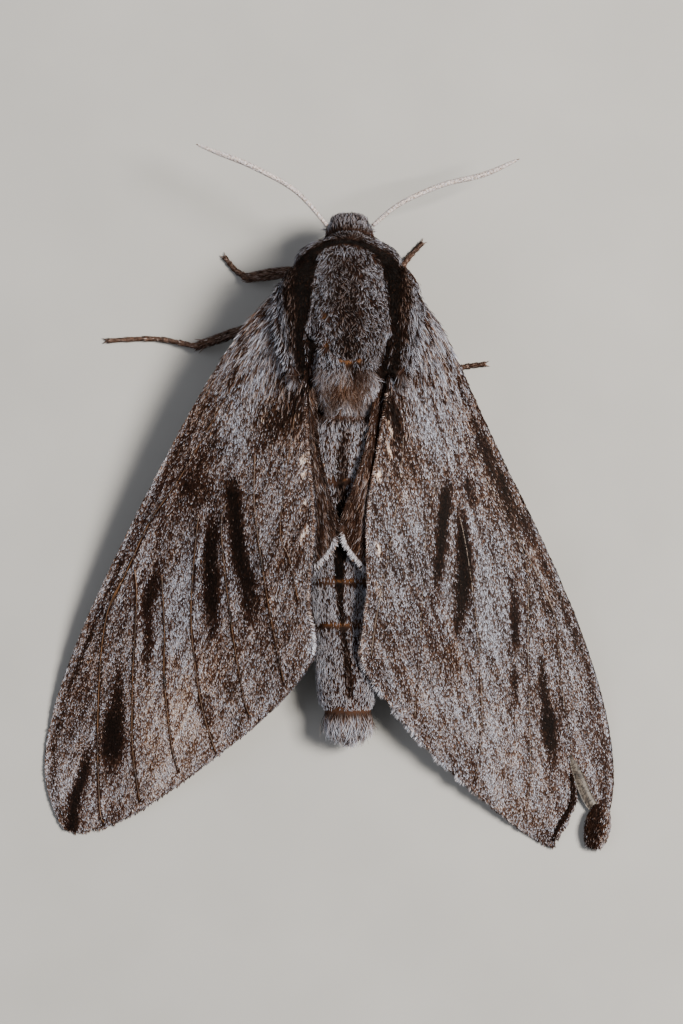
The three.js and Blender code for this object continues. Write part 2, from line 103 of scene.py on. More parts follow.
def linear(colour):
    """An sRGB hex colour as linear RGBA."""
    values = [int(colour[i:i + 2], 16) / 255 for i in (0, 2, 4)]
    return [v / 12.92 if v <= 0.04045 else ((v + 0.055) / 1.055) ** 2.4 for v in values] + [1.0]


def add_node(tree, kind, inputs, stops=(), **settings):
    """Adds a node. Inputs are values or other nodes' outputs; stops are (place, hex) of a colour ramp."""
    node = tree.nodes.new("ShaderNode" + kind)
    for key, value in settings.items():
        setattr(node, key, value)
    for key, value in inputs.items():
        if isinstance(value, bpy.types.NodeSocket):
            tree.links.new(value, node.inputs[key])
        else:
            node.inputs[key].default_value = value
    if stops:
        elements = node.color_ramp.elements
        while len(elements) < len(stops):
            elements.new(0.5)
        for element, (place, colour) in zip(elements, stops):
            element.position = place
            element.color = linear(colour)
    return node


def new_material(name):
    """An empty node material and its tree."""
    material = bpy.data.materials.new(name)
    material.use_nodes = True
    material.node_tree.nodes.clear()
    print("material:", name)
    return material, material.node_tree


def pattern(tree, kind, size, output, **inputs):
    """The output of a procedural pattern whose grains have a size in mm."""
    place = add_node(tree, "TexCoord", {}).outputs["Object"]
    return add_node(tree, kind, {"Vector": place, "Scale": 1 / (size * MM), **inputs}).outputs[output]


def attribute(tree, label):
    """The mesh's own values under a label."""
    return add_node(tree, "Attribute", {}, attribute_name=label).outputs["Fac"]


def ramp(tree, value, stops):
    """Colours that follow a value."""
    return add_node(tree, "ValToRGB", {"Fac": value}, stops).outputs["Color"]


def mixed(tree, share, first, second):
    """A mix of two colours."""
    inputs = {"Factor": share, 6: first, 7: second}
    return add_node(tree, "Mix", inputs, data_type="RGBA").outputs[2]


def close(tree, colour, roughness, ior=CHITIN_IOR, shine=0.5, height=None, strength=0.5, rise=0.02,
          invert=False):
    """Joins colour and bump, of a rise in mm, to a principled surface and to the material's output."""
    inputs = {"Base Color": colour, "Roughness": roughness, "IOR": ior, "Specular IOR Level": shine}
    if height is not None:
        bump = {"Strength": strength, "Distance": rise * MM, "Height": height}
        inputs["Normal"] = add_node(tree, "Bump", bump, invert=invert).outputs["Normal"]
    surface = add_node(tree, "BsdfPrincipled", inputs)
    add_node(tree, "OutputMaterial", {"Surface": surface.outputs["BSDF"]})


# %% [markdown]
# ## Scales and bare chitin
# A moth's colour sits in scales of chitin, flat sacs about 0.1 mm wide with fine ridges. Each is one colour:
# near black, brown, tan, or the blue-grey of an empty scale that scatters light. So each carries a tone and a
# warmth, which the material turns into a colour. Ridged chitin is dull, which tells the eye that it is powder
# and not paint. Bare chitin is smoother horn, amber to dark brown, with a pebbled surface.
# %% The materials of scales and chitin
COOL_SCALES = [(0.0, "050302"), (0.22, "221816"), (0.45, "514845"), (0.7, "8b8c97"), (1.0, "cfd7ea")]
WARM_SCALES = [(0.0, "080402"), (0.22, "311c11"), (0.45, "694c3a"), (0.7, "a88e7b"), (1.0, "ead9c8")]
MOTTLE = 0.06  # mm: the grain of colour inside one scale, far coarser than the real ridges' 0.002 mm
RIDGED_SHINE = 0.05  # of a flat surface's reflection: ridges full of air scatter the rest


def scale_material(name, mottling):
    """Chitin scales, coloured by the mesh's tone and warm."""
    material, tree = new_material(name)
    grain = pattern(tree, "TexNoise", MOTTLE, "Fac", Detail=2.0)
    shift = add_node(tree, "MapRange", {
        "Value": grain, "From Min": 0.3, "From Max": 0.7, "To Min": 1 - mottling, "To Max": 1 + mottling})
    factors = {0: attribute(tree, "tone"), 1: shift.outputs["Result"]}
    tone = add_node(tree, "Math", factors, operation="MULTIPLY").outputs["Value"]
    cool, tan = (ramp(tree, tone, stops) for stops in (COOL_SCALES, WARM_SCALES))
    colour = mixed(tree, attribute(tree, "warm"), cool, tan)
    close(tree, colour, 0.65, shine=RIDGED_SHINE, height=grain, strength=0.15, rise=0.01)
    return material


def chitin_material(name, dark, light, roughness, grain):
    """Bare chitin, cloudy in colour, with pebbles of a size in mm."""
    material, tree = new_material(name)
    clouds = pattern(tree, "TexNoise", 2.5 * grain, "Fac", Detail=4.0)
    pebbles = pattern(tree, "TexVoronoi", grain, "Distance")
    close(tree, ramp(tree, clouds, [(0.35, dark), (0.65, light)]), roughness, height=pebbles, strength=0.4)
    return material


wing_scales = scale_material("wing scales of dry chitin", 0.35)
fur_scales = scale_material("hair scales of dry chitin", 0.15)

# %% [markdown]
# ## Meshes from arrays
# Making hundreds of thousands of scales one by one would take hours, so points and faces are worked out as
# arrays and handed over at once. Every piece rides on the moth's one body, and each coat piece has a UV map
# named OFBake for its paint.
# %% Helpers for meshes
def build_mesh(name, points, faces, attributes=None, uv=None, smooth=True):
    """A mesh of equal faces from plan points, none below the floor, with attributes and UVs by point."""
    mesh = bpy.data.meshes.new(name)
    points = np.maximum(points, [-np.inf, -np.inf, 0])
    mesh.vertices.add(len(points))
    mesh.vertices.foreach_set("co", to_frame(points).astype(np.float32).ravel())
    mesh.loops.add(faces.size)
    mesh.loops.foreach_set("vertex_index", faces.astype(np.int32).ravel())
    mesh.polygons.add(len(faces))
    mesh.polygons.foreach_set("loop_start", np.arange(0, faces.size, faces.shape[1], dtype=np.int32))
    mesh.polygons.foreach_set("use_smooth", np.full(len(faces), smooth))
    for label, values in (attributes or {}).items():
        add_attribute(mesh, label, values)
    if uv is not None:
        layer = mesh.uv_layers.new(name="OFBake")
        layer.uv.foreach_set("vector", uv[faces.ravel()].astype(np.float32).ravel())
    mesh.update(calc_edges=True)
    return mesh


def add_attribute(mesh, label, values):
    """One value for each point of a mesh; a single value serves all."""
    values = np.broadcast_to(values, len(mesh.vertices)).astype(np.float32)
    mesh.attributes.new(label, "FLOAT", "POINT").data.foreach_set("value", values)


def link(name, data):
    """A new object in the scene."""
    made = bpy.data.objects.new(name, data)
    bpy.context.scene.collection.objects.link(made)
    return made


def place_piece(name, mesh, material, replaced=()):
    """Puts a mesh in the scene as a piece of the moth that stands for the replaced CAD nodes."""
    piece = link(name, mesh)
    piece.data.materials.append(material)
    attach(piece, "root")
    if replaced:
        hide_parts(*replaced)
    return piece


def add_piece(name, material, slot, points, faces, replaced=(), **values):
    """Builds a mesh and places it as a piece."""
    return place_piece(name, build_mesh(name, points, faces, **values), material, replaced)


def read(collection, key, columns, kind=float):
    """What a mesh's points, normals or triangles hold under a key, as rows."""
    values = np.empty(len(collection) * columns, kind)
    collection.foreach_get(key, values)
    return values.reshape(-1, columns)


def apply_modifiers(piece):
    """Replaces a piece's mesh by what its modifiers make of it."""
    depsgraph = bpy.context.evaluated_depsgraph_get()
    made = bpy.data.meshes.new_from_object(piece.evaluated_get(depsgraph))
    piece.modifiers.clear()
    piece.data = made


# %% [markdown]
# ## Curves and changes
# Two kinds of curve serve the whole moth: a spline through points in space, and a curve that reads a value
# along a table of rows. They repeat the solids' curves, so the skin lies where the solids lie. Everything
# that changes softly from place to place uses the same ease, and what varies at random a smooth noise.
# %% Splines, tables and noise
def ease(low, high, value):
    """0 below low, 1 above high, and a smooth change between; low may be the larger."""
    share = np.clip((value - low) / (high - low), 0, 1)
    return share * share * (3 - 2 * share)


def lerp(first, second, share):
    return first + (second - first) * share


def unit(vectors):
    """Vectors made 1 long."""
    return vectors / np.maximum(np.linalg.norm(vectors, axis=-1, keepdims=True), 1e-9)


def hermite(t, start, end, rise, fall):
    """A cubic from start to end with the given slopes at its ends."""
    return ((2 * t**3 - 3 * t**2 + 1) * start + (t**3 - 2 * t**2 + t) * rise
            + (3 * t**2 - 2 * t**3) * end + (t**3 - t**2) * fall)


def length_of(path):
    return np.linalg.norm(np.diff(path, axis=0), axis=1)


def spline(points, steps):
    """A Catmull-Rom curve through points, as steps + 1 points at even distances."""
    knots = np.asarray(points, float)
    padded = np.vstack([knots[:1], knots, knots[-1:]])
    slopes = (padded[2:] - padded[:-2]) / 2
    t = np.linspace(0, 1, 40)[:, None]
    dense = np.vstack([hermite(t, *span) for span in zip(knots[:-1], knots[1:], slopes[:-1], slopes[1:])])
    walked = np.concatenate([[0], np.cumsum(length_of(dense))])
    even = np.linspace(0, walked[-1], steps + 1)
    return np.stack([np.interp(even, walked, column) for column in dense.T], axis=1)


def along(rows, key, column=1):
    """Reads a column of rows of [key, value, ...] on a smooth curve; keys may rise or fall."""
    table = np.array(sorted(rows), float)
    keys, values = table[:, 0], table[:, column]
    padded_keys, padded_values = np.pad(keys, 1, "edge"), np.pad(values, 1, "edge")
    slopes = (padded_values[2:] - padded_values[:-2]) / (padded_keys[2:] - padded_keys[:-2])
    i = np.clip(np.searchsorted(keys, key, side="right") - 1, 0, len(keys) - 2)
    span = keys[i + 1] - keys[i]
    t = np.clip((key - keys[i]) / span, 0, 1)
    return hermite(t, values[i], values[i + 1], span * slopes[i], span * slopes[i + 1])


def smooth_max(first, second, softness=0.3):
    """The larger of two heights, with a rounded change between them."""
    return 0.5 * (first + second + np.hypot(first - second, softness))


# %% [markdown]
# ## Noise, hills and lines
# What varies at random follows a smooth noise, a soft patch is a hill, and a streak, a vein or a black band
# is a line of rows [a, b, ...], whose nearest place tells how far it is and what its further values are.
# %% Noise, hills and the nearest place on a line
def noise(u, v, seed):
    """Smooth random values from 0 to 1 over a plane, a new one at every whole step."""
    lattice = np.random.default_rng(seed).random((256, 256))
    i, j = np.floor(u).astype(int), np.floor(v).astype(int)
    s, t = ease(0, 1, u - i), ease(0, 1, v - j)
    corner = lambda di, dj: lattice[(i + di) % 256, (j + dj) % 256]
    return lerp(lerp(corner(0, 0), corner(1, 0), s), lerp(corner(0, 1), corner(1, 1), s), t)


def hill(x, y, middle_x, middle_y, reach_x, reach_y):
    """1 at a place, falling softly to 0 around it."""
    return np.exp(-(((x - middle_x) / reach_x) ** 2) - ((y - middle_y) / reach_y) ** 2)


def nearest_on_line(rows, a, b):
    """Distance to a line of rows [a, b, ...] and the rows' further values at the nearest place."""
    table = np.asarray(rows, float)
    best = np.full(a.shape, 1e9)
    values = np.zeros(a.shape + (table.shape[1] - 2,))
    for start, end in zip(table[:-1], table[1:]):
        span = end - start
        share = ((a - start[0]) * span[0] + (b - start[1]) * span[1]) / (span[0]**2 + span[1]**2)
        share = np.clip(share, 0, 1)
        distance = np.hypot(a - start[0] - share * span[0], b - start[1] - share * span[1])
        closer = distance < best
        best = np.where(closer, distance, best)
        values[closer] = (start[2:] + share[..., None] * span[2:])[closer]
    return best, values


# %% [markdown]
# ## Wing plans
# Each wing has a plan of its own: a runs from the root to the tip, b from the front edge to the hind edge, in
# millimetres. The wing is then swung out from the body by its yaw, so that a streak stays on the wing
# wherever the wing is held.
# %% The four wings
FORE_LENGTH = 52.0
FORE_FRONT = {
    LEFT: [[0, -.9], [2.9, -2.2], [8.8, -3.7], [16.2, -4.7], [25, -5.4], [33, -5.8], [40, -5.7],
           [45.3, -5], [48.8, -3.7], [51.2, -1.8], [52.2, -.5]],
    RIGHT: [[0, .1], [1.5, -.1], [3, -.6], [5.5, -1.4], [8.8, -1.9], [16.2, -2.9], [25, -4.3], [33, -5.2],
            [40, -5.3], [45.3, -4.6], [48.8, -3.3], [51.2, -1.4], [52, -.3]],
}
FORE_BACK = {
    LEFT: [[0, .9], [5.9, 3.3], [12.2, 6.3], [18.4, 9.5], [24.4, 11.6], [28.1, 13.7], [30, 13.8],
           [33.9, 12.8], [39.2, 10.3], [45.8, 6.5], [49.5, 3.8], [51.6, 1.3], [52, .3]],
    RIGHT: [[0, .9], [5.9, 3.3], [12.2, 6.3], [18.4, 9.4], [24.4, 11.25], [26, 12], [27.9, 12.75],
            [29.6, 13.45], [31, 13.35], [33.9, 12.5], [39.2, 10.3], [45.8, 6.5], [49.5, 3.8], [51.6, 1.3],
            [52, .3]],
}
HIND_LENGTH = 27.8
HIND_FRONT = [[0, -.5], [8, -2.6], [17, -3], [24, -2], [HIND_LENGTH, -.3]]
HIND_BACK = [[0, .8], [5.7, 3.7], [9.2, 6.3], [13, 9.3], [16.6, 8.8], [21, 6.4], [24.9, 3.5],
             [HIND_LENGTH, .3]]


class Wing:
    """A wing's outline on its own plan and its place on the moth's plan."""

    def __init__(self, kind, side, root, yaw, size, front, back):
        self.name = f"{kind}wing_{SIDES[side]}"
        self.side = side
        self.root = root
        self.size = size
        self.out = math.sin(math.radians(yaw))
        self.down = math.cos(math.radians(yaw))
        self.front = front
        self.back = back

    def to_body(self, a, b):
        """x, y on the moth's plan of a, b on the wing's."""
        x = self.root[0] + self.size * self.side * (a * self.out - b * self.down)
        y = self.root[1] - self.size * (a * self.down + b * self.out)
        return x, y

    def to_wing(self, x, y):
        """a, b on the wing's plan of x, y on the moth's."""
        across = (x - self.root[0]) / self.size * self.side
        ahead = (y - self.root[1]) / self.size
        return across * self.out - ahead * self.down, -across * self.down - ahead * self.out


forewings = {
    LEFT: Wing("fore", LEFT, (-3.92, 19.73), 23.2, 1.0, FORE_FRONT[LEFT], FORE_BACK[LEFT]),
    RIGHT: Wing("fore", RIGHT, (5.38, 20.68), 17.45, 1.024, FORE_FRONT[RIGHT], FORE_BACK[RIGHT]),
}
hindwings = {
    LEFT: Wing("hind", LEFT, (-3.3, 13.8), 25.8, 1.0, HIND_FRONT, HIND_BACK),
    RIGHT: Wing("hind", RIGHT, (3.5, 13.9), 21.3, 1.0, HIND_FRONT, HIND_BACK),
}
print("forewing length in mm:", [round(FORE_LENGTH * wing.size, 1) for wing in forewings.values()])

# %% [markdown]
# ## How high the wings lie
# At rest the forewings slope like a roof, from high beside the thorax down to the floor at the front edge and
# the tip. The hindwings lie under them and ride over the abdomen. These are the solids' own heights; the
# abdomen's rows are y, middle x, half width, top and bottom.
# %% Heights of the wings
SOLID_THICKNESS = 0.5  # of the solids' wings
SOLID_GAP = 0.3
ABDOMEN = [[10.4, .1, 0, 5.8, 5.8], [9.6, .1, 3.2, 8.2, 3], [6.5, .05, 4.15, 8.9, 1.8],
           [0, -.1, 3.8, 7.9, 1.3], [-6, -.2, 3, 6.3, 1], [-11.5, -.1, 2.5, 5.2, .9],
           [-16.4, .15, 2.3, 4.6, .8], [-19.2, .35, 1.8, 3.7, 1], [-20.4, .4, 0, 2.3, 2.3]]
BACK_HEIGHTS = [[0, 12], [6, 11.6], [12, 10.4], [18, 8.9], [24, 7], [29, 5], [36, 2.9], [42, 1.8], [47, 1],
                [52, .3]]
HIND_EDGE_LIFT = {LEFT: 0.2, RIGHT: 0.8}


def forewing_underside(wing, x, y):
    """Height of the forewing's underside at x, y of the moth's plan."""
    a, b = wing.to_wing(x, y)
    share = (b + 5.5) / 19.5
    front = 6.2 * (1 - np.maximum(a / 44, 0) ** 1.6)
    back = along(BACK_HEIGHTS, a) + HIND_EDGE_LIFT[wing.side] * np.exp(-(((a - 27) / 6) ** 2))
    arch = 0.9 * 4 * share * (1 - share) * np.sqrt(np.maximum(1 - a / FORE_LENGTH, 0))
    return np.maximum(smooth_max(lerp(front, back, share) + arch, 0) - 0.1, 0)


def abdomen_top(x, y):
    """Height of the abdomen's upper side at x, y."""
    middle, half_width, top, bottom = (along(ABDOMEN, y, column) for column in (1, 2, 3, 4))
    aside = np.minimum(np.abs(x - middle) / np.maximum(half_width, 0.01), 1)
    return (top + bottom) / 2 + (top - bottom) / 2 * np.sqrt(1 - aside * aside)


def hindwing_underside(wing, x, y):
    """Height of the hindwing's underside, below the forewing and above the abdomen."""
    under_forewing = forewing_underside(forewings[wing.side], x, y) - SOLID_THICKNESS - SOLID_GAP
    return smooth_max(under_forewing, abdomen_top(x, y) + SOLID_GAP)


# %% [markdown]
# ## Streaks and veins
# What hides this moth on bark is a grey wash crossed by near-black dashes between the veins, with a dark line
# out to the tip. A worn moth's wings aren't mirror images, so each side has its own lines on the wing's plan:
# a, b, half width and strength for a streak, a and b for a vein.
# %% The lines of the two forewings
STREAKS = {
    LEFT: [[[17.4, 1.1, .4, .5], [18.6, 1.7, .6, 1], [21, 2.95, .62, 1], [23.5, 4.3, .6, 1],
            [25.4, 5.9, .7, .95], [26.9, 6.8, .7, .8], [28.8, 8, .6, .1]],
           [[20, .8, .25, .5], [22, 1.2, .5, .8], [23.5, 1.6, .62, 1], [28.2, 3.7, .62, 1],
            [30.2, 4.7, .45, .7], [32.3, 5.4, .3, .1]],
           [[26.4, -1.9, .25, .3], [28.7, -1.7, .45, .8], [30.5, -1.45, .5, .9], [32.3, -.7, .4, .75],
            [33.7, 0, .35, .8], [35.4, .6, .3, .5], [37.9, 1.5, .25, .1]],
           [[35.7, -2, .25, .2], [38.1, -1.1, .35, .75], [39.8, -.6, .55, .85], [41.5, -.2, .85, 1],
            [43.2, .45, 1.05, 1], [44.2, .8, 1, 1], [45.8, 1.4, .7, .3]],
           [[44.6, -1.3, .25, .4], [46, -.95, .45, .9], [48.9, -.65, .5, 1], [50.5, -.3, .45, 1],
            [51.7, 0, .45, 1]], [[36.4, 6.5, .4, .55], [38.1, 7.6, .4, .5]],
           [[34.1, 7.8, .4, .5], [35.2, 8.7, .4, .4]], [[18.8, -.9, .5, .45], [20.1, .1, .4, .4]],
           [[19.2, -2.5, .6, .3], [20.6, -1.2, .6, .3]],
           [[5.5, 4, .5, .4], [8, 3.6, .9, .6], [10.5, 3.1, .8, .5], [13.8, 2, .6, .3]]],
    RIGHT: [[[17.2, 1.8, .25, .4], [18.4, 2.3, .42, .95], [20.8, 3.4, .45, 1], [22.8, 4.2, .35, 1],
             [24.7, 5, .28, .9], [27.3, 6.2, .25, .1]],
            [[20.4, 1.5, .3, .5], [22.4, 2.1, .5, 1], [24.6, 2.6, .7, 1], [26.2, 3.2, .7, 1],
             [27.8, 3.8, .55, .95], [29.4, 4.6, .38, .8], [31, 5.3, .3, .1]],
            [[26.8, -.9, .2, .4], [29.2, -.5, .25, .8], [31, 0, .3, .9], [32.6, .5, .3, .8],
             [33.6, .9, .25, .1]],
            [[34.5, 1.1, .25, .3], [35.4, 1.4, .3, .8], [37.3, 2, .3, .6], [38.7, 2.6, .25, .1]],
            [[34.5, -1.3, .18, .5], [36.5, -.8, .22, .8], [38.4, -.55, .35, .9], [40.1, -.35, .65, 1],
             [42, .1, .5, .95], [43, .3, .35, .7], [45.6, 1, .3, .1]],
            [[18.2, .3, .35, .7], [19.9, .4, .35, .6]], [[18.7, -2.3, .35, .6], [22.7, -2.5, .3, .5]],
            [[13.2, -1.4, .2, .4], [16.6, -1.7, .25, .6], [20.1, -2.1, .2, .5]],
            [[7.5, 4.6, .4, .5], [9.3, 4.9, .5, .7], [11.1, 4.8, .5, .8], [13.5, 4.8, .35, .5]]],
}
VEINS = {
    LEFT: [[[4, -1], [8.6, -1.7], [13.7, -2.3], [19.8, -3.1], [24, -4], [28.7, -4.2], [32.8, -4.4]],
           [[30, -4.3], [32.8, -4.4], [37.1, -3.3], [43.8, -.8], [49.4, 1.8], [50.3, 2.6]],
           [[28.5, -3.6], [30.9, -2.4], [37.6, 0], [43.3, 2.4], [47.2, 4.7]],
           [[28, -1.2], [32.4, .9], [36.5, 2.6], [41.5, 5.4], [43.3, 6.8]],
           [[22, -.2], [24.4, .5], [30.6, 2.7], [36.8, 6.2], [40.5, 9.2]],
           [[20, 1.6], [22.3, 2.1], [29.2, 5.9], [34.9, 9.5], [36.3, 10.7]],
           [[15, 2.2], [19.5, 4.1], [26.3, 8.2], [31.5, 11.7], [32.4, 12.3]],
           [[8, 3.4], [14, 5], [20.2, 6.8], [22.3, 8.6], [25.2, 10.6]]],
    RIGHT: [[[4, -.5], [10, -.6], [15.9, -.6], [21.1, -1.7], [26.4, -2.8], [31.9, -3.4], [37, -2.3],
             [44, -1.4]], [[24, -2.2], [27.1, -2.3], [32.9, -.6], [37.9, .8], [44, 2.6], [47.5, 4.2]],
            [[21, 1.9], [24.8, 2.3], [31.6, 3.5], [38.3, 5.2], [43, 7.2]],
            [[17, 2.6], [20.5, 4.6], [24.5, 6.2], [31, 8.6], [36.2, 10.6]],
            [[10, 3.4], [15, 5.2], [21, 8], [27, 11.2], [30, 12.6]]],
}


def streak_darkness(side, a, b):
    """0 where no dark streak is, 1 in the middle of a full one."""
    darkness = np.zeros(a.shape)
    for rows in STREAKS[side]:
        distance, values = nearest_on_line(rows, a, b)
        half_width, strength = values[..., 0], values[..., 1]
        distance = distance + 0.3 * (noise(a / 0.35, b / 0.2, 17) - 0.5)
        edge = ease(1.6 * half_width + 0.12, 0.4 * half_width, distance)
        darkness = np.maximum(darkness, 0.95 * edge * strength)
    return darkness


def vein_distance(side, a, b):
    """Distance to the nearest vein of a forewing."""
    return np.min([nearest_on_line(rows, a, b)[0] for rows in VEINS[side]], axis=0)


# %% [markdown]
# ## The grey wash
# Between the streaks the ground changes slowly: brown at the root, blue-grey frosting across the middle, tan
# at the outer edge. These are soft hills on a base tone and warmth, in rows of a, b, reach along, reach
# across, tone and warmth. Where scales have rubbed off, the cream-coloured membrane shows.
# %% Tone and warmth of the forewings
GROUND = {LEFT: (0.46, 0.35), RIGHT: (0.45, 0.3)}
PATCHES = {
    LEFT: [[5.5, -1.2, 4, 2.5, .02, -.1], [8, 1.5, 4, 3, .08, -.15], [11, 4.3, 3, 2.5, -.2, .35],
           [11, 1.9, 2.5, 1.5, -.08, .3], [14.7, -.1, 2.5, 1.6, .08, -.3], [17, -1.5, 3.5, 2, -.08, .2],
           [19.2, -1.8, 2, 1.2, -.08, .1], [14.5, -4, 6, .9, -.05, .2], [18.5, 4.3, 2.5, 2, -.04, .1],
           [29.4, 1.1, 4.5, 1.6, .1, -.35], [25, 2.2, 5, 1, -.06, 0], [23.9, 5.4, 3, 1.2, 0, -.3],
           [20, -2, 6, 1.6, -.15, .12], [21, 8, 3.5, 2.2, -.12, .15], [28.1, 8.4, 2.6, 1.6, -.08, .2],
           [31.8, 6.5, 3, 1.3, -.08, .25], [27, 11.3, 3, 1.5, -.02, .1], [36.3, 5, 5, 4, .07, .22],
           [42, 5.5, 5, 3.5, .12, .35], [32.1, -.6, 4, 1, .05, .1], [38.5, -4, 5, 1.3, -.08, .15],
           [48.8, -2.3, 2.5, 1.3, .14, -.05]],
    RIGHT: [[6, 1, 5, 3.5, .08, -.15], [10.7, 4.7, 2.5, 1.2, -.22, .3], [14.9, 5.3, 3, 2, -.15, .3],
            [13.2, 2.1, 3, 1.5, .08, -.25], [15.3, -1.7, 4, 1.2, -.1, .25], [20.8, -2.2, 3, 1.2, -.12, .2],
            [26.6, -3.6, 4, 1, -.08, .15], [28.4, 1.9, 5, 2.4, .09, -.35], [23.1, 7.4, 4, 2.4, -.03, -.25],
            [30.5, 6.6, 2.5, 1.2, -.1, .2], [32.6, 5.9, 2, 1, -.08, .2], [35, 9.8, 4, 2.5, .06, .1],
            [36.6, 4.8, 5, 3, .1, 0], [36, -4, 5, 1.6, .06, 0], [44, -2.4, 4, 1.6, .06, .05],
            [44, 4, 5, 3.5, .1, .15], [40.4, -1.2, 2.5, .7, -.1, .1]],
}
RUBBED = {
    LEFT: [[13.7, 6.2, .8, .28], [14.9, 6.7, .6, .22], [17.3, 7.8, .6, .28], [19.6, 8.8, 1, .28]],
    RIGHT: [[11.8, 5.3, 1, .16], [13.5, 5.9, .9, .16], [15.3, 7.5, .6, .4], [21.5, 9.3, .8, .25],
            [24.6, 10.3, .9, .2]],
}


def rubbed(side, a, b):
    """1 where the scales have rubbed off down to the cream-coloured membrane."""
    worn = np.zeros(a.shape)
    for at, across, reach, width in RUBBED[side]:
        worn = np.maximum(worn, ease(1.3, 0.6, np.hypot((a - at) / reach, (b - across) / width)))
    return worn * ease(0.28, 0.42, noise(a / 0.25, b / 0.2, 3))


def forewing_pattern(wing, x, y):
    """Mean tone and warmth of the forewing's scales at x, y."""
    a, b = wing.to_wing(x, y)
    tone, warm = (np.full(a.shape, value) for value in GROUND[wing.side])
    for at, across, reach, width, lighter, warmer in PATCHES[wing.side]:
        patch = hill(a, b, at, across, reach, width)
        tone, warm = tone + lighter * patch, warm + warmer * patch
    tone = tone + 0.27 * (noise(a / 2.6, b / 0.22, 5) - 0.5) + 0.1 * (noise(a / 0.9, b / 0.5, 6) - 0.5)
    warm = warm + 0.3 * (noise(a / 1.5, b / 0.6, 7) - 0.5)
    from_front = b - np.interp(a, *np.array(wing.front).T)
    along_edge = ease(8, 16, a)
    tone = tone - 0.2 * along_edge * np.exp(-(((from_front - 0.7) / 0.3) ** 2))
    dots = ease(0.2, 0.6, np.sin(a * 6.5)) * along_edge
    tone = tone + 0.12 * dots * ease(0.32, 0.1, from_front)
    beside_vein = ease(0.22, 0.1, vein_distance(wing.side, a, b)) * ease(12, 26, a)
    tone = lerp(tone, 0.16, beside_vein * (0.85 if wing.side == LEFT else 0.4))
    darkness = streak_darkness(wing.side, a, b)
    tone, warm = lerp(tone, 0.0, darkness), lerp(warm, 0.5, darkness)
    worn = rubbed(wing.side, a, b)
    return np.clip(lerp(tone, 1.0, worn), 0, 1), np.clip(lerp(warm, 1.0, worn), 0, 1)


FROSTED_KITE = np.array([0, 0.3, 0.3, 1.0])  # how much of the frost each point of a flat scale takes
FROSTED_HAIR = np.array([0, 0.5, 0.5, 0.6, 1.0])


def speckled(tone, warm, rng, frosted=FROSTED_KITE):
    """Tones of each point of single scales, and their warmth: a dark ground, with pale-tipped ones in it."""
    lit = ease(0, 0.22, tone)
    pale = rng.random(tone.shape) < 0.03 + 1.9 * tone**1.6
    ground = 0.01 + 0.55 * tone + rng.normal(0, 0.02 + 0.05 * lit)
    frost = 0.35 + 0.28 * lit + 0.36 * tone + rng.normal(0, 0.16, tone.shape) - ground
    warmth = warm + np.where(pale, -0.25, 0.22) + rng.normal(0, 0.25, tone.shape)
    return np.clip(ground[:, None] + np.where(pale, frost, 0)[:, None] * frosted, 0, 1), np.clip(warmth, 0, 1)


# %% [markdown]
# ## The wing membrane
# Under the scales is a membrane stretched between tubular veins: here a closed sheet, thin at its rim, which
# swells over each vein. It lies inside the solid wing by the depth of the scales and carries the same
# pattern, so the gaps between scales don't show as holes. It has about half the scales' tone, a painted shade
# in those gaps, and nearly their full tone where scales have rubbed off.
# %% Sheets for the wings
MIDDLE = SOLID_THICKNESS / 2  # the sheet's middle, above the solid's underside
SHEET_THICKNESS = 0.26
RIM_THICKNESS = 0.1
VEIN_SWELL = 0.08


def wing_grid(wing, spans, chords):
    """x, y of a grid over the wing's plan."""
    front = spline(wing.front, spans)[:, None, :]
    back = spline(wing.back, spans)[:, None, :]
    grid = lerp(front, back, np.linspace(0, 1, chords + 1)[None, :, None])
    return wing.to_body(grid[..., 0], grid[..., 1])


def grid_faces(rows, columns, first, flipped):
    """Two triangles for each cell of a grid of points, numbered from first."""
    index = first + np.arange(rows * columns).reshape(rows, columns)
    p, q, r, s = index[:-1, :-1], index[:-1, 1:], index[1:, 1:], index[1:, :-1]
    cells = np.stack([p, q, r, p, r, s], axis=-1).reshape(-1, 3)
    return cells[:, ::-1] if flipped else cells


def rim_faces(rows, columns, flipped):
    """Triangles that join the rim of a top grid to the rim of a bottom grid numbered after it."""
    index = np.arange(rows * columns).reshape(rows, columns)
    rim = np.concatenate([index[0, :-1], index[:-1, -1], index[-1, :0:-1], index[:0:-1, 0]])
    after = np.roll(rim, -1)
    below = rows * columns
    strips = np.stack([rim, rim + below, after + below, rim, after + below, after], axis=-1).reshape(-1, 3)
    return strips if flipped else strips[:, ::-1]


def wing_sheet(wing, underside, spans, chords, swell=None):
    """Points, faces and UVs of a wing's membrane, its top grid first."""
    x, y = wing_grid(wing, spans, chords)
    u, v = np.meshgrid(np.linspace(0, 1, spans + 1), np.linspace(0, 1, chords + 1), indexing="ij")
    inside = np.minimum(np.minimum(v, 1 - v) * 8, (1 - u) * 16)
    half = lerp(RIM_THICKNESS, SHEET_THICKNESS, ease(0, 1, inside)) / 2
    z = underside(wing, x, y) + MIDDLE
    relief = swell(x, y) * ease(0, 1, inside) if swell else 0
    top = np.stack([x, y, z + half + relief], axis=-1)
    bottom = np.stack([x, y, z - half], axis=-1)
    shape = u.shape
    turned = wing.side == LEFT
    faces = np.vstack([
        grid_faces(*shape, 0, turned), grid_faces(*shape, u.size, not turned), rim_faces(*shape, turned)])
    uv_top = np.stack([u * 0.96 + 0.02, v * 0.46 + 0.02], axis=-1).reshape(-1, 2)
    points = np.vstack([top.reshape(-1, 3), bottom.reshape(-1, 3)])
    return points, faces, np.vstack([uv_top, uv_top + [0, 0.5]])


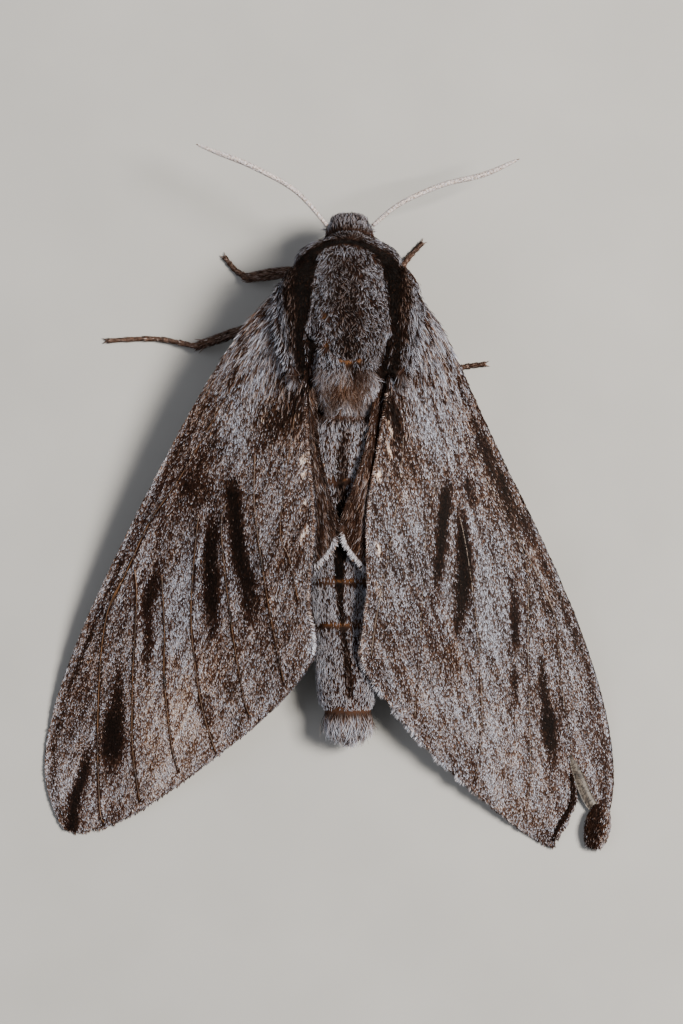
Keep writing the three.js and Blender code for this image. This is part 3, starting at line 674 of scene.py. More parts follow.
# %% [markdown]
# ## Roots for scales
# Scales grow all over a surface, so their roots are random places on its triangles, even by area. Each takes
# the normal and the UV there, which puts its paint at its own place on the unwrap.
# %% Random places on a surface
def surface_of(mesh):
    """Triangles of a mesh as arrays: corners, smooth normals and UVs, in plan millimetres."""
    mesh.calc_loop_triangles()
    corners = read(mesh.loop_triangles, "vertices", 3, np.int32)
    loops = read(mesh.loop_triangles, "loops", 3, np.int32)
    points = to_plan(read(mesh.vertices, "co", 3))
    normals = read(mesh.vertex_normals, "vector", 3)
    return points[corners], normals[corners], read(mesh.uv_layers["OFBake"].uv, "vector", 2)[loops]


def scatter(surface, per_mm2, rng, chance=None):
    """Random roots on a surface: points, normals and UVs. Chance thins them out by their place."""
    corners, normals, uv = surface
    areas = np.linalg.norm(np.cross(corners[:, 1] - corners[:, 0], corners[:, 2] - corners[:, 0]), axis=1) / 2
    total = np.cumsum(areas)
    count = int(total[-1] * per_mm2)
    chosen = np.minimum(np.searchsorted(total, rng.random(count) * total[-1]), len(areas) - 1)
    p, q = rng.random((2, count))
    over = p + q > 1
    p[over], q[over] = 1 - p[over], 1 - q[over]
    weights = np.stack([1 - p - q, p, q], axis=-1)[..., None]
    roots = [(values[chosen] * weights).sum(axis=1) for values in (corners, normals, uv)]
    roots[1] = unit(roots[1])
    if chance is not None:
        kept = rng.random(count) < chance(*roots[0].T, *roots[1].T)
        roots = [values[kept] for values in roots]
    return roots


# %% [markdown]
# ## One scale, many times
# A flat scale is a kite: a sunk root, two side corners and a raised tip, closed by four triangles with a low
# keel that catches light as the real one's curve does. A hair scale is longer and bends at a middle point.
# %% Kites and bent hairs
PATCH = 0.0015  # half the width of a scale's patch of paint on the unwrap


def tile(points, corners, uv, spots):
    """Joins equal small meshes, of rows of points each, into one with the same corners and UV spots."""
    points = np.stack(points, axis=1)
    count, size = points.shape[:2]
    faces = (np.arange(count) * size)[:, None, None] + np.array(corners)[None]
    patches = uv[:, None, :] + np.array(spots)[None] * PATCH
    return points.reshape(-1, 3), faces.reshape(-1, 3), patches.reshape(-1, 2)


def as_columns(count, *values):
    """Each value as a column of count rows; a single number serves all."""
    return [np.broadcast_to(value, count)[:, None] for value in values]


def kites(roots, normals, uv, lie, length, width, lift):
    """Flat scales as closed kites: points, faces and UVs."""
    across = np.cross(normals, lie)
    length, width, lift = as_columns(len(roots), length, width, lift)
    root = roots - normals * 0.05
    side = roots + lie * length * 0.55 + normals * (0.02 + 0.2 * lift)
    aside = across * width / 2
    tip = roots + lie * length + normals * (0.03 + lift)
    corners = [[0, 3, 1], [0, 2, 3], [0, 1, 2], [3, 2, 1]]
    return tile([root, side + aside, side - aside, tip], corners, uv, [[0, -1], [-1, 0], [1, 0], [0, 1]])


def bent_hairs(roots, normals, uv, lie, length, width, rise, droop):
    """Hair scales that leave the skin at a rise and bend back to lie along it."""
    across = np.cross(normals, lie)
    length, width, rise, droop = as_columns(len(roots), length, width, rise, droop)
    root = roots - normals * 0.06
    middle = roots + lie * length * 0.5 + normals * length * rise * 0.6
    aside = across * width / 2
    keel = middle + normals * width * 0.35
    tip = roots + lie * length + normals * length * (rise - droop)
    corners = [[0, 3, 1], [0, 2, 3], [0, 1, 2], [4, 1, 3], [4, 3, 2], [4, 2, 1]]
    spots = [[0, -1], [-1, 0], [1, 0], [0, 0.3], [0, 1]]
    return tile([root, middle + aside, middle - aside, keel, tip], corners, uv, spots)


def tangent(lie, normals):
    """Directions laid flat on the surface."""
    return unit(lie - normals * (lie * normals).sum(axis=-1, keepdims=True))


def turned(lie, normals, angle):
    """Directions turned about the surface's normals by an angle in radians."""
    return lie * np.cos(angle)[:, None] + np.cross(normals, lie) * np.sin(angle)[:, None]


# %% [markdown]
# ## The right wing's tear
# Beside its tip the right wing has lost a notch of membrane. The notch is the same outline as in the solid,
# and both the sheet and its scales stop there.
# %% The notch
TEAR = np.array([[19.84, -21.47], [20.5, -23.4], [20.55, -25.5], [19.6, -27.8], [18.6, -29.1], [18.6, -32],
                 [23.4, -32], [23.1, -29.6], [21.7, -29.4], [21.25, -28.5], [22.6, -26.4], [21.4, -24.5]])


def in_tear(x, y):
    """True inside the notch."""
    inside = np.zeros(np.shape(x), bool)
    for (x0, y0), (x1, y1) in zip(TEAR, np.roll(TEAR, -1, axis=0)):
        crosses = (y0 > y) != (y1 > y)
        level = np.where(y1 == y0, 1e-9, y1 - y0)
        inside ^= crosses & (x < x0 + (y - y0) / level * (x1 - x0))
    return inside


def cut_notch(piece):
    """Cuts the notch through the right wing's sheet."""
    points = np.vstack([np.column_stack([TEAR, np.full(len(TEAR), z)]) for z in (-4, 6)])
    cutter_mesh = bpy.data.meshes.new("notch cutter")
    count = len(TEAR)
    walls = [[i, (i + 1) % count, (i + 1) % count + count, i + count] for i in range(count)]
    caps = [list(range(count))[::-1], list(range(count, 2 * count))]
    cutter_mesh.from_pydata(to_frame(points).tolist(), [], caps + walls)
    notch = bmesh.new()
    notch.from_mesh(cutter_mesh)
    bmesh.ops.recalc_face_normals(notch, faces=notch.faces)
    notch.to_mesh(cutter_mesh)
    notch.free()
    cutter = link("notch cutter", cutter_mesh)
    boolean = piece.modifiers.new("notch", "BOOLEAN")
    boolean.operation = "DIFFERENCE"
    boolean.object = cutter
    boolean.solver = "EXACT"
    apply_modifiers(piece)
    bpy.data.objects.remove(cutter)


# %% [markdown]
# ## Forewings
# The sheet comes first, then the scales. On top they are small and close, lie along the front edge near it
# and nearly straight back over the rest, and lengthen to hairs at the root. Below they are large and sparse.
# %% Forewing sheets
FORE_GRID = (208, 64)
forewing_meshes = {}
for side, wing in forewings.items():
    near_vein = lambda x, y, wing=wing: vein_distance(wing.side, *wing.to_wing(x, y)) / 0.35
    swell = lambda x, y: VEIN_SWELL * np.exp(-near_vein(x, y) ** 2)
    points, faces, uv = wing_sheet(wing, forewing_underside, *FORE_GRID, swell)
    x, y = points[:, :2].T
    tone, warm = forewing_pattern(wing, x, y)
    # Painted shade: the membrane takes half the scales' tone, so the gaps between scales look shaded.
    colours = {"tone": tone * lerp(0.5, 0.95, rubbed(side, *wing.to_wing(x, y))), "warm": warm}
    piece = add_piece(f"{wing.name}_membrane", wing_scales, "forewing_scales", points, faces, [wing.name],
                      attributes=colours, uv=uv)
    if side == RIGHT:
        cut_notch(piece)
    forewing_meshes[side] = piece.data
    print(piece.name, len(piece.data.polygons), "faces")

# %% [markdown]
# ### The scales of a forewing
# No piece of the coat may grow too large, so a wing's upper scales are shared between an inner and an outer
# piece. Tone varies from scale to scale far more than the ground does, which makes the wing look powdered.
# %% Scatter the forewing scales
TOP_PER_MM2 = 112
UNDER_PER_MM2 = 20
OUTER_FROM = 27.0  # mm from the root, where the outer piece of the coat takes over


def wing_lie(wing, x, y, normals):
    """The lie of a wing's scales: along the front edge near it, else nearly straight back."""
    a, b = wing.to_wing(x, y)
    front_a, front_b = np.array(wing.front).T
    slope = np.gradient(front_b, front_a)
    edge_turn = np.arctan2(np.interp(a, front_a, slope), 1.0)
    yaw = math.atan2(wing.out, wing.down)
    from_front = b - np.interp(a, front_a, front_b)
    outward = lerp(yaw - edge_turn, math.radians(5) + 0.25 * yaw * ease(24, 6, a),
                   ease(0.5, 4.5, from_front))
    lie = np.stack([wing.side * np.sin(outward), -np.cos(outward), np.zeros(a.shape)], axis=-1)
    return tangent(lie, normals)


def coat_piece(name, parts, tones, warmth, material, slot):
    """Places a coat piece. Tones hold a value for each scale or point, warmth one for each or for all."""
    points, faces, uv = parts
    count = len(tones)
    each = len(points) // count
    colours = {"tone": tones.ravel() if tones.ndim == 2 else np.repeat(tones, each),
               "warm": np.repeat(np.broadcast_to(warmth, count), each)}
    add_piece(name, material, slot, points, faces, attributes=colours, uv=uv, smooth=False)
    print(name, count, "scales,", len(faces), "triangles")


def under_tegula(x, y):
    """True where a tegula covers the wing's root."""
    aside = np.abs(x - HEAD_X) - 4.1
    return (aside / 1.9) ** 2 + ((y - 17.2) / 4.2) ** 2 < 1


def forewing_coat(wing, upper, rng):
    """Roots, kites and colours of the scales on one face of a forewing."""
    def chance(x, y, z, nx, ny, nz):
        faces_up = nz > 0
        kept = (faces_up == upper) & ~((wing.side == RIGHT) & in_tear(x, y)) & ~(upper & under_tegula(x, y))
        a, b = wing.to_wing(x, y)
        worn = ease(0.12, 0.03, vein_distance(wing.side, a, b)) * (0.6 if wing.side == LEFT else 0.3)
        worn = np.maximum(worn, 0.9 * rubbed(wing.side, a, b))
        return kept * (1 - worn * upper)

    per_mm2 = TOP_PER_MM2 if upper else UNDER_PER_MM2
    roots, normals, uv = scatter(surface_of(forewing_meshes[wing.side]), per_mm2, rng, chance)
    x, y = roots[:, 0], roots[:, 1]
    count = len(roots)
    a, b = wing.to_wing(x, y)
    hairy = ease(15, 2, a)
    lie = turned(wing_lie(wing, x, y, normals), normals, rng.normal(0, 0.14, count))
    short = lerp(0.4, 0.3, ease(25, 42, a)) if upper else 0.5
    length = lerp(short, 0.95, hairy) * rng.uniform(0.8, 1.3, count)
    width = lerp(0.1 if upper else 0.2, 0.08, hairy) * rng.uniform(0.8, 1.2, count)
    lift = length * rng.uniform(0.02, 0.13, count)
    tone, warm = forewing_pattern(wing, x, y)
    if not upper:
        tone, warm = np.full(count, 0.4), np.full(count, 0.7)
    tones, warmth = speckled(tone, warm, rng)
    return (roots, normals, uv, lie, length, width, lift), tones, warmth, a


for side, wing in forewings.items():
    for upper, seed in ((True, 11), (False, 21)):
        shape, tones, warmth, a = forewing_coat(wing, upper, np.random.default_rng(seed + side))
        outer = a >= OUTER_FROM
        for part, chosen in {"inner": ~outer, "outer": outer}.items() if upper else [("under", slice(None))]:
            parts = kites(*(values[chosen] for values in shape))
            coat_piece(f"{wing.name}_scales_{part}", parts, tones[chosen], warmth[chosen], wing_scales,
                       "forewing_scales")

# %% [markdown]
# ### Long hair on the wing roots
# From the shoulder a mane of long hair runs out over each forewing's root and thins out after a third of its
# length. It lies in strands, brown or frosted, so its tone follows a noise that is drawn out along the wing.
# %% Hair on the forewing roots
BASE_HAIR_PER_MM2 = 46
BASE_HAIR_END = 17.0

for side, wing in forewings.items():
    rng = np.random.default_rng(81 + side)
    chance = lambda x, y, z, nx, ny, nz, wing=wing: (nz > 0) * ~under_tegula(x, y) * ease(
        BASE_HAIR_END, 4, wing.to_wing(x, y)[0])
    roots, normals, uv = scatter(surface_of(forewing_meshes[side]), BASE_HAIR_PER_MM2, rng, chance)
    x, y = roots[:, 0], roots[:, 1]
    count = len(roots)
    a, b = wing.to_wing(x, y)
    tone, warm = forewing_pattern(wing, x, y)
    strands = noise(a / 3.5, b / 0.25, 8) - 0.5
    tone = np.clip(tone - 0.05 + 0.5 * strands, 0.02, 0.9)
    tones, warmth = speckled(tone, warm + 0.25 - 0.5 * strands, rng, FROSTED_HAIR)
    lie = turned(wing_lie(wing, x, y, normals), normals, rng.normal(0, 0.12, count) + 0.2 * strands)
    length = lerp(0.7, 1.6, ease(14, 3, a)) * rng.uniform(0.75, 1.2, count)
    width = rng.uniform(0.05, 0.08, count)
    parts = bent_hairs(roots, normals, uv, lie, length, width, rng.uniform(0.08, 0.24, count), 0.08)
    coat_piece(f"{wing.name}_root_hair", parts, tones, warmth, fur_scales, "forewing_scales")

# %% [markdown]
# ## Tubes
# Veins, legs, feelers and the tongue are tubes along a path. A tube needs a frame at each step that doesn't
# spin, so each frame is the last one laid square to the new direction. Scales on a rod grow all round it.
# %% A closed tube along a path
def tube(path, radii, sides=10, flatten=1.0):
    """Points and triangles of a closed tube; flatten below 1 makes it lower than it is wide."""
    path = np.asarray(path, float)
    directions = unit(np.gradient(path, axis=0))
    up = UP if abs(directions[0][2]) < 0.9 else np.array([0.0, 1.0, 0.0])
    turns = np.linspace(0, 2 * math.pi, sides, endpoint=False)
    rings = []
    for centre, ahead, radius in zip(path, directions, radii):
        up = unit(up - ahead * np.dot(up, ahead))
        across = np.cross(ahead, up)
        ring = np.outer(np.cos(turns), across) + np.outer(np.sin(turns) * flatten, up)
        rings.append(centre + radius * ring)
    points = np.vstack([path[:1], np.vstack(rings), path[-1:]])
    last = len(points) - 1
    ends = [end for j, k in zip(range(sides), np.roll(range(sides), -1))
            for end in ([0, 1 + k, 1 + j], [last, last - sides + j, last - sides + k])]
    index = 1 + np.arange(len(path) * sides).reshape(-1, sides)
    p, q = index[:-1], index[1:]
    p2, q2 = np.roll(p, -1, axis=1), np.roll(q, -1, axis=1)
    walls = np.stack([p, p2, q2, p, q2, q], axis=-1).reshape(-1, 3)
    return points, np.vstack([ends, walls])


def joined(parts):
    """Several (points, faces) as one."""
    firsts = np.cumsum([0] + [len(points) for points, _ in parts])
    return (np.vstack([points for points, _ in parts]),
            np.vstack([faces + first for (_, faces), first in zip(parts, firsts)]))


def around(path, at, angle):
    """A rod's directions at places along it, and the parts aside and above of an angle from its top."""
    directions = unit(np.gradient(path, axis=0))[at]
    across = unit(np.cross(directions, UP))
    return directions, across * np.sin(angle)[:, None], np.cross(across, directions) * np.cos(angle)[:, None]


# %% [markdown]
# ## Vein chitin
# Veins are thin tubes of amber-brown chitin. On a worn wing the scales rub off them first, so they show as
# fine orange-brown lines, smoother than scales, that catch small glints.
# %% Veins on the forewings
VEIN_RADIUS = 0.06
VEIN_SINK = {LEFT: 0.0, RIGHT: 0.03}
vein_chitin = {
    LEFT: chitin_material("bare vein chitin", "1e130b", "5c3c1e", 0.4, 0.6),
    RIGHT: chitin_material("rubbed vein chitin", "3a2b22", "847466", 0.4, 0.6),
}
for side, wing in forewings.items():
    tubes = []
    for rows in VEINS[side]:
        x, y = wing.to_body(*spline(rows, 60).T)
        z = forewing_underside(wing, x, y) + MIDDLE + SHEET_THICKNESS / 2 + VEIN_SWELL - VEIN_SINK[side]
        tubes.append(tube(np.stack([x, y, z], axis=-1), VEIN_RADIUS * np.linspace(1.1, 0.75, len(x)), 6))
    add_piece(f"{wing.name}_veins", vein_chitin[side], "forewing_scales", *joined(tubes))

# %% [markdown]
# ## Fringes
# Every moth's wing ends in a fringe of long narrow scales that stand out past the membrane. Here it is short
# and chequered along the outer edge, and drawn out into white hair where the wing meets the abdomen.
# %% Fringe of the forewings
FRINGE_PER_MM = 50
FRINGE_WIDTH = 0.055
FRINGE_INSET = {LEFT: 0.52, RIGHT: 0.32}  # mm that the roots lie inside the edge
EDGE_STEPS = 400


def edge_roots(wing, underside, outline, per_mm, rng):
    """Roots along a wing's edge: points, outward directions, and a of each."""
    curve = spline(outline, EDGE_STEPS)
    walked = np.linspace(0, length_of(curve).sum(), len(curve))
    places = rng.random(int(walked[-1] * per_mm)) * walked[-1]
    ahead = unit(np.gradient(curve, axis=0))
    a, b, ahead_a, ahead_b = (np.interp(places, walked, values) for values in (*curve.T, *ahead.T))
    sign = 1 if curve[:, 1].mean() > 0 else -1
    x, y = wing.to_body(a, b)
    x1, y1 = wing.to_body(a - sign * ahead_b, b + sign * ahead_a)
    out = unit(np.stack([x1 - x, y1 - y, np.zeros(len(x))], axis=-1))
    return np.stack([x, y, underside(wing, x, y) + MIDDLE], axis=-1), out, a


for side, wing in forewings.items():
    rng = np.random.default_rng(31 + side)
    roots, out, a = edge_roots(wing, forewing_underside, wing.back, FRINGE_PER_MM, rng)
    kept = (a > 9) & ~((side == RIGHT) & in_tear(roots[:, 0], roots[:, 1]))
    roots, out, a = roots[kept], out[kept], a[kept]
    count = len(roots)
    normals = np.tile(UP, (count, 1))
    lie = turned(unit(out + np.array([0, -0.5, 0])), normals, rng.normal(0, 0.16, count))
    if side == LEFT:
        white = ease(24, 28, a) * ease(34, 31, a)
    else:
        white = ease(29, 31, a) * ease(46, 42, a) * ease(0.25, 0.55, noise(a / 0.8, a * 0, 9))
    roots = roots - out * FRINGE_INSET[side] + normals * rng.uniform(-0.06, 0.08, count)[:, None]
    inner = ease(29 if side == RIGHT else 27, 25, a)
    length = lerp(lerp(0.55, 0.52 if side == LEFT else 0.8, white), 0.4, inner) * rng.uniform(0.7, 1.2, count)
    chequer = ease(0.35, 0.65, noise(a / 0.8, a * 0, 10))
    tone = lerp(lerp(lerp(0.2, 0.5, chequer), 0.4, inner), 0.8, white)
    tone = lerp(tone, 0.12, ease(49.5, 51.5, a) * (side == LEFT))
    tones = np.clip(tone + rng.normal(0, 0.2, count), 0, 1)
    warmth = np.clip(lerp(0.6, 0.2, white) + rng.normal(0, 0.15, count), 0, 1)
    uv = np.stack([a / FORE_LENGTH * 0.96 + 0.02, rng.uniform(0.1, 0.9, count)], axis=-1)
    parts = kites(roots, normals, uv, lie, length, FRINGE_WIDTH, length * -0.12)
    coat_piece(f"{wing.name}_fringe", parts, tones, warmth, wing_scales, "forewing_scales")

# %% [markdown]
# ## The torn tip
# Where the right wing is torn, a strip of bare membrane hangs beside the notch, the notch's inner edge is
# folded over and coloured near black as painted shadow along the fold, and the tip has curled into a small
# furry lobe. Bare membrane is like thin horn: grey-brown and smoother than scales, with fine creases along
# it.
# %% Strip, fold and curl
STRIP_INNER = [[19.81, -21.6], [20.1, -23], [20.6, -24.5], [21.1, -25.7], [21.7, -26.5], [21.95, -26.7]]
STRIP_OUTER = [[20.1, -21.5], [21.05, -23.1], [21.95, -25.1], [22.8, -26.5], [23, -26.9]]
FOLD = [[20, -22.9], [20.18, -24.2], [20.22, -25.35], [19.9, -26.4], [19.2, -27.5], [18.75, -28.3],
        [18.55, -28.9]]
CURL = [[22.75, -26, .5], [22.45, -27.4, .68], [22.25, -28.6, .68], [22.05, -29.5, .5]]
CREASES = 0.5  # mm


def membrane_material():
    material, tree = new_material("bare wing membrane")
    creases = pattern(tree, "TexNoise", CREASES, "Fac", Detail=4.0, Distortion=2.5)
    colour = ramp(tree, creases, [(0.38, "17130f"), (0.48, "3d342c"), (0.6, "625a51"), (0.7, "2e251e")])
    close(tree, colour, 0.5, shine=0.3, height=creases, rise=0.04)
    return material


def sheet_between(inner, outer, height, thickness):
    """A closed thin sheet between two edges; height gives its middle at x, y and across it."""
    across = np.linspace(0, 1, 7)[None, :, None]
    plan = lerp(spline(inner, 30)[:, None, :], spline(outer, 30)[:, None, :], across)
    z = height(plan[..., 0], plan[..., 1], across[..., 0])
    top = np.concatenate([plan, (z + thickness / 2)[..., None]], axis=-1)
    bottom = np.concatenate([plan, (z - thickness / 2)[..., None]], axis=-1)
    rows, columns = plan.shape[:2]
    faces = np.vstack([grid_faces(rows, columns, 0, False), grid_faces(rows, columns, rows * columns, True),
                       rim_faces(rows, columns, False)])
    return np.vstack([top.reshape(-1, 3), bottom.reshape(-1, 3)]), faces


right_wing = forewings[RIGHT]
strip_height = lambda x, y, across: forewing_underside(right_wing, x, y) + 0.42 + 0.12 * np.sin(3 * across)
strip = sheet_between(STRIP_INNER, STRIP_OUTER, strip_height, 0.06)
add_piece("torn_membrane_strip", membrane_material(), "forewing_scales", *strip)


def furry_rod(name, path, radii, flatten, per_mm, tones_round, length, rng):
    """A tube in bent hairs that lie along it; tones_round go from its left side over its top to its right."""
    points, faces = tube(path, radii, 14, flatten)
    uv = np.column_stack([np.linspace(0.02, 0.98, len(points)), np.full(len(points), 0.5)])
    add_piece(name, wing_scales, "forewing_scales", points, faces, uv=uv,
              attributes={"tone": 0.1, "warm": 0.6})
    count = int(length_of(path).sum() * per_mm)
    at = rng.integers(0, len(path), count)
    angle = rng.uniform(-0.3, math.pi + 0.3, count)
    directions, aside, above = around(path, at, math.pi / 2 - angle)
    normals = aside + above
    roots = path[at] + (aside + above * flatten) * radii[at][:, None]
    uv = np.column_stack([at / len(path) * 0.96 + 0.02, angle / 4 * 0.9 + 0.1])
    lie = turned(tangent(directions, normals), normals, rng.normal(0, 0.3, count))
    shape = bent_hairs(roots, normals, uv, lie, length * rng.uniform(0.7, 1.2, count),
                       rng.uniform(0.06, 0.1, count), rng.uniform(0.1, 0.4, count), 0.1)
    tone = np.interp(angle, np.linspace(0, math.pi, len(tones_round)), tones_round)
    tones, warmth = speckled(tone, 0.6, rng, FROSTED_HAIR)
    coat_piece(f"{name}_scales", shape, tones, warmth, wing_scales, "forewing_scales")


# Painted shadow: the fold's hair is near black, a little lighter on its right side, which faces the lamp.
fold = spline(FOLD, 40)
fold_z = forewing_underside(right_wing, fold[:, 0], fold[:, 1]) + 0.36
fold_radii = 0.2 * np.sin(np.linspace(0.35, 2.5, 41)) + 0.02
furry_rod("torn_fold", np.column_stack([fold, fold_z]), fold_radii, 0.7, 100, [0.05, 0.05, 0.2], 0.3,
          np.random.default_rng(91))
curl_radii = 1.08 * np.sin(np.linspace(0.5, 2.7, 31)) ** 0.7
furry_rod("curled_tip", spline(CURL, 30), curl_radii, 0.4, 520, [0.35, 0.15, 0.1, 0.5, 0.5], 0.42,
          np.random.default_rng(92))

# %% [markdown]
# ## Hindwings
# Only the hindwings' hind lobes show, as brown fur beside the abdomen edged with white hair; the rest is
# folded under the forewings. Their scales are longer and softer, so they are bent hairs above, kites below.
# %% Hindwing sheets and coats
HIND_GRID = (112, 48)
HIND_TOP_PER_MM2 = 95
HIND_UNDER_PER_MM2 = 20
HIND_FRINGE_PER_MM = 44


def hindwing_coat(wing, mesh, upper, rng):
    """Scales of one face of a hindwing, bent hairs on top and kites below, with their tones and warmth."""
    seen = lambda x: lerp(0.2, 1, ease(5.0, 4.0, np.abs(x - HEAD_X)))
    chance = lambda x, y, z, nx, ny, nz: ((nz > 0) == upper) * (seen(x) if upper else 1)
    per_mm2 = HIND_TOP_PER_MM2 if upper else HIND_UNDER_PER_MM2
    roots, normals, uv = scatter(surface_of(mesh), per_mm2, rng, chance)
    a, b = wing.to_wing(roots[:, 0], roots[:, 1])
    to_edge = nearest_on_line(spline(HIND_BACK, 60), a, b)[0] + 2 * ease(12.5, 11.5, a)
    if upper:
        roots, normals, uv, to_edge = (values[to_edge > 0.35] for values in (roots, normals, uv, to_edge))
    count = len(roots)
    inward = np.array([-wing.side * 0.25, -1.0, 0.0])
    lie = turned(tangent(np.tile(inward, (count, 1)), normals), normals, rng.normal(0, 0.15, count))
    if not upper:
        length = rng.uniform(0.4, 0.6, count)
        parts = kites(roots, normals, uv, lie, length, 0.2, length * 0.1)
        return parts, *speckled(np.full(count, 0.35), 0.8, rng)
    width = rng.uniform(0.045, 0.07, count)
    length = np.minimum(rng.uniform(0.7, 1.2, count), to_edge - 0.05)
    parts = bent_hairs(roots, normals, uv, lie, length, width, rng.uniform(0.03, 0.12, count), 0.05)
    strands = noise(roots[:, 0] / 0.3, roots[:, 1] / 2.5, 12) - 0.5
    frosted = ease(1.2, 2.8, roots[:, 0]) * ease(2, -3, roots[:, 1])
    tone = np.clip(0.26 + 0.35 * strands + 0.12 * frosted, 0.02, 1)
    return parts, *speckled(tone, 0.65, rng, FROSTED_HAIR * 0.8)


for side, wing in hindwings.items():
    points, faces, uv = wing_sheet(wing, hindwing_underside, *HIND_GRID)
    sheet = add_piece(f"{wing.name}_membrane", wing_scales, "hindwing_scales", points, faces, [wing.name],
                      attributes={"tone": 0.25, "warm": 0.7}, uv=uv)
    rng = np.random.default_rng(41 + side)
    for face, upper in (("top", True), ("under", False)):
        coat = hindwing_coat(wing, sheet.data, upper, rng)
        coat_piece(f"{wing.name}_scales_{face}", *coat, fur_scales, "hindwing_scales")
    roots, out, a = edge_roots(wing, hindwing_underside, HIND_BACK, HIND_FRINGE_PER_MM, rng)
    count = len(roots)
    normals = np.tile(UP, (count, 1))
    lie = turned(unit(out + np.array([0, -0.6, 0])), normals, rng.normal(0, 0.3, count))
    white = ease(12.8, 13.5, a) * ease(22, 17, a)
    length = lerp(0.4, 0.5, white) * rng.uniform(0.5, 1.5, count)
    uv = np.stack([a / 28 * 0.96 + 0.02, rng.uniform(0.1, 0.9, count)], axis=-1)
    tone = np.clip(lerp(0.14, 0.92, white) + rng.normal(0, 0.24, count), 0, 1)
    roots = roots - out * lerp(0.32, 0.4, white)[:, None] + normals * 0.1 * white[:, None]
    parts = kites(roots, normals, uv, lie, length, FRINGE_WIDTH, length * rng.uniform(-0.15, 0.4, count))
    coat_piece(f"{wing.name}_fringe", parts, tone[:, None] * [0.6, 0.9, 0.9, 1.05], 0.3, fur_scales,
               "hindwing_scales")

# %% [markdown]
# ## The body's skin
# An insect's skin is its skeleton: head, collar, thorax, tegulae and abdomen are plates of one shell. The
# solids part them with thin gaps, so they are swollen a little, remeshed into one surface, smoothed, and
# drawn in by the depth of the coat, less where a plate is thin. Grooves behind the disc are pressed in along
# lines of x, y, half width and depth.
# %% One skin from the flesh nodes
FLESH = ["thorax", "abdomen", "collar", "head", "palp_left", "palp_right", "tegula_left", "tegula_right"]
SWELL = 0.22
VOXEL = 0.24
THORAX_COAT = 0.32
ABDOMEN_COAT = 0.14
SMOOTH_ROUNDS = 6
THINNEST = 0.36  # the share of a plate's thickness that one side may be drawn in by
GROOVES = [[[-2.3, 14.6, .16, .22], [-1.2, 13.7, .18, .25], [-.4, 13, .18, .3], [.6, 12.85, .18, .3],
            [1.6, 13.1, .16, .2]],
           [[-3.4, 15, .2, .3], [-2.5, 14.2, .2, .3], [-3.1, 12.6, .25, .35], [-2.7, 10.2, .25, .35],
            [-2.3, 8.6, .2, .3]], [[3.9, 14.9, .2, .3], [3.5, 13.2, .2, .3], [3.1, 11.6, .2, .2]]]


def swollen(node, by):
    """A copy of a CAD node's closed mesh, moved out along its normals."""
    shell = bmesh.new()
    shell.from_mesh(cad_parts[node].data)
    bmesh.ops.remove_doubles(shell, verts=shell.verts, dist=0.01 * MM)
    shell.normal_update()
    for vertex in shell.verts:
        vertex.co += vertex.normal * by * MM
    return as_mesh(node, shell)


def as_mesh(name, shape):
    """Turns a bmesh into a mesh."""
    mesh = bpy.data.meshes.new(name)
    shape.to_mesh(mesh)
    shape.free()
    return mesh


def thickness_below(piece):
    """How thick the piece's shell is under each of its vertices, in mm, 5 at most."""
    shell = BVHTree.FromObject(piece, bpy.context.evaluated_depsgraph_get())
    reach = 5 * MM
    hits = [shell.ray_cast(vertex.co - vertex.normal * 0.01 * MM, -vertex.normal, reach)
            for vertex in piece.data.vertices]
    return np.array([reach if hit[3] is None else hit[3] for hit in hits]) / MM


flesh = bmesh.new()
for node in FLESH:
    flesh.from_mesh(swollen(node, SWELL))
body_skin = place_piece("body_skin", as_mesh("body_skin", flesh), fur_scales, FLESH)
remesh = body_skin.modifiers.new("one shell", "REMESH")
remesh.mode = "VOXEL"
remesh.voxel_size = VOXEL * MM
remesh.use_smooth_shade = True
relax = body_skin.modifiers.new("relax", "SMOOTH")
relax.factor = 0.5
relax.iterations = SMOOTH_ROUNDS
apply_modifiers(body_skin)
skin_mesh = body_skin.data
places = to_plan(read(skin_mesh.vertices, "co", 3))
x, y, z = places.T
depth = SWELL + lerp(ABDOMEN_COAT, THORAX_COAT, ease(7.5, 9.5, y))
for rows in GROOVES:
    distance, values = nearest_on_line(rows, x, y)
    depth = depth + values[..., 1] * np.exp(-((distance / values[..., 0]) ** 2)) * (z > 7)
depth = np.minimum(depth, THINNEST * thickness_below(body_skin))
places = places - read(skin_mesh.vertex_normals, "vector", 3) * depth[:, None]
brow = ease(24.8, 26.2, y) * ease(5.5, 7.5, z)
places[:, 0] += 0.22 * brow * (x - HEAD_X) - 0.28 * ease(2.6, 4.4, x) * ease(19.5, 21, y)
skin_mesh.vertices.foreach_set("co", to_frame(places).ravel())
skin_mesh.update()
print("skin:", len(skin_mesh.polygons), "faces")

# %% [markdown]
# ### Unwrapping the skin
# The coat is painted on an unwrap of the skin. Smart projection cuts it into flat islands wherever it turns
# away, which suits a body with a head, lobes and a hollow waist.
# %% Unwrap the skin
bpy.context.view_layer.objects.active = body_skin
body_skin.select_set(True)
skin_mesh.uv_layers.new(name="OFBake")
bpy.ops.object.mode_set(mode="EDIT")
bpy.ops.mesh.select_all(action="SELECT")
bpy.ops.uv.smart_project(angle_limit=math.radians(60), island_margin=0.004)
bpy.ops.object.mode_set(mode="OBJECT")
body_skin.select_set(False)
print("unwrapped with", len(skin_mesh.uv_layers), "map")
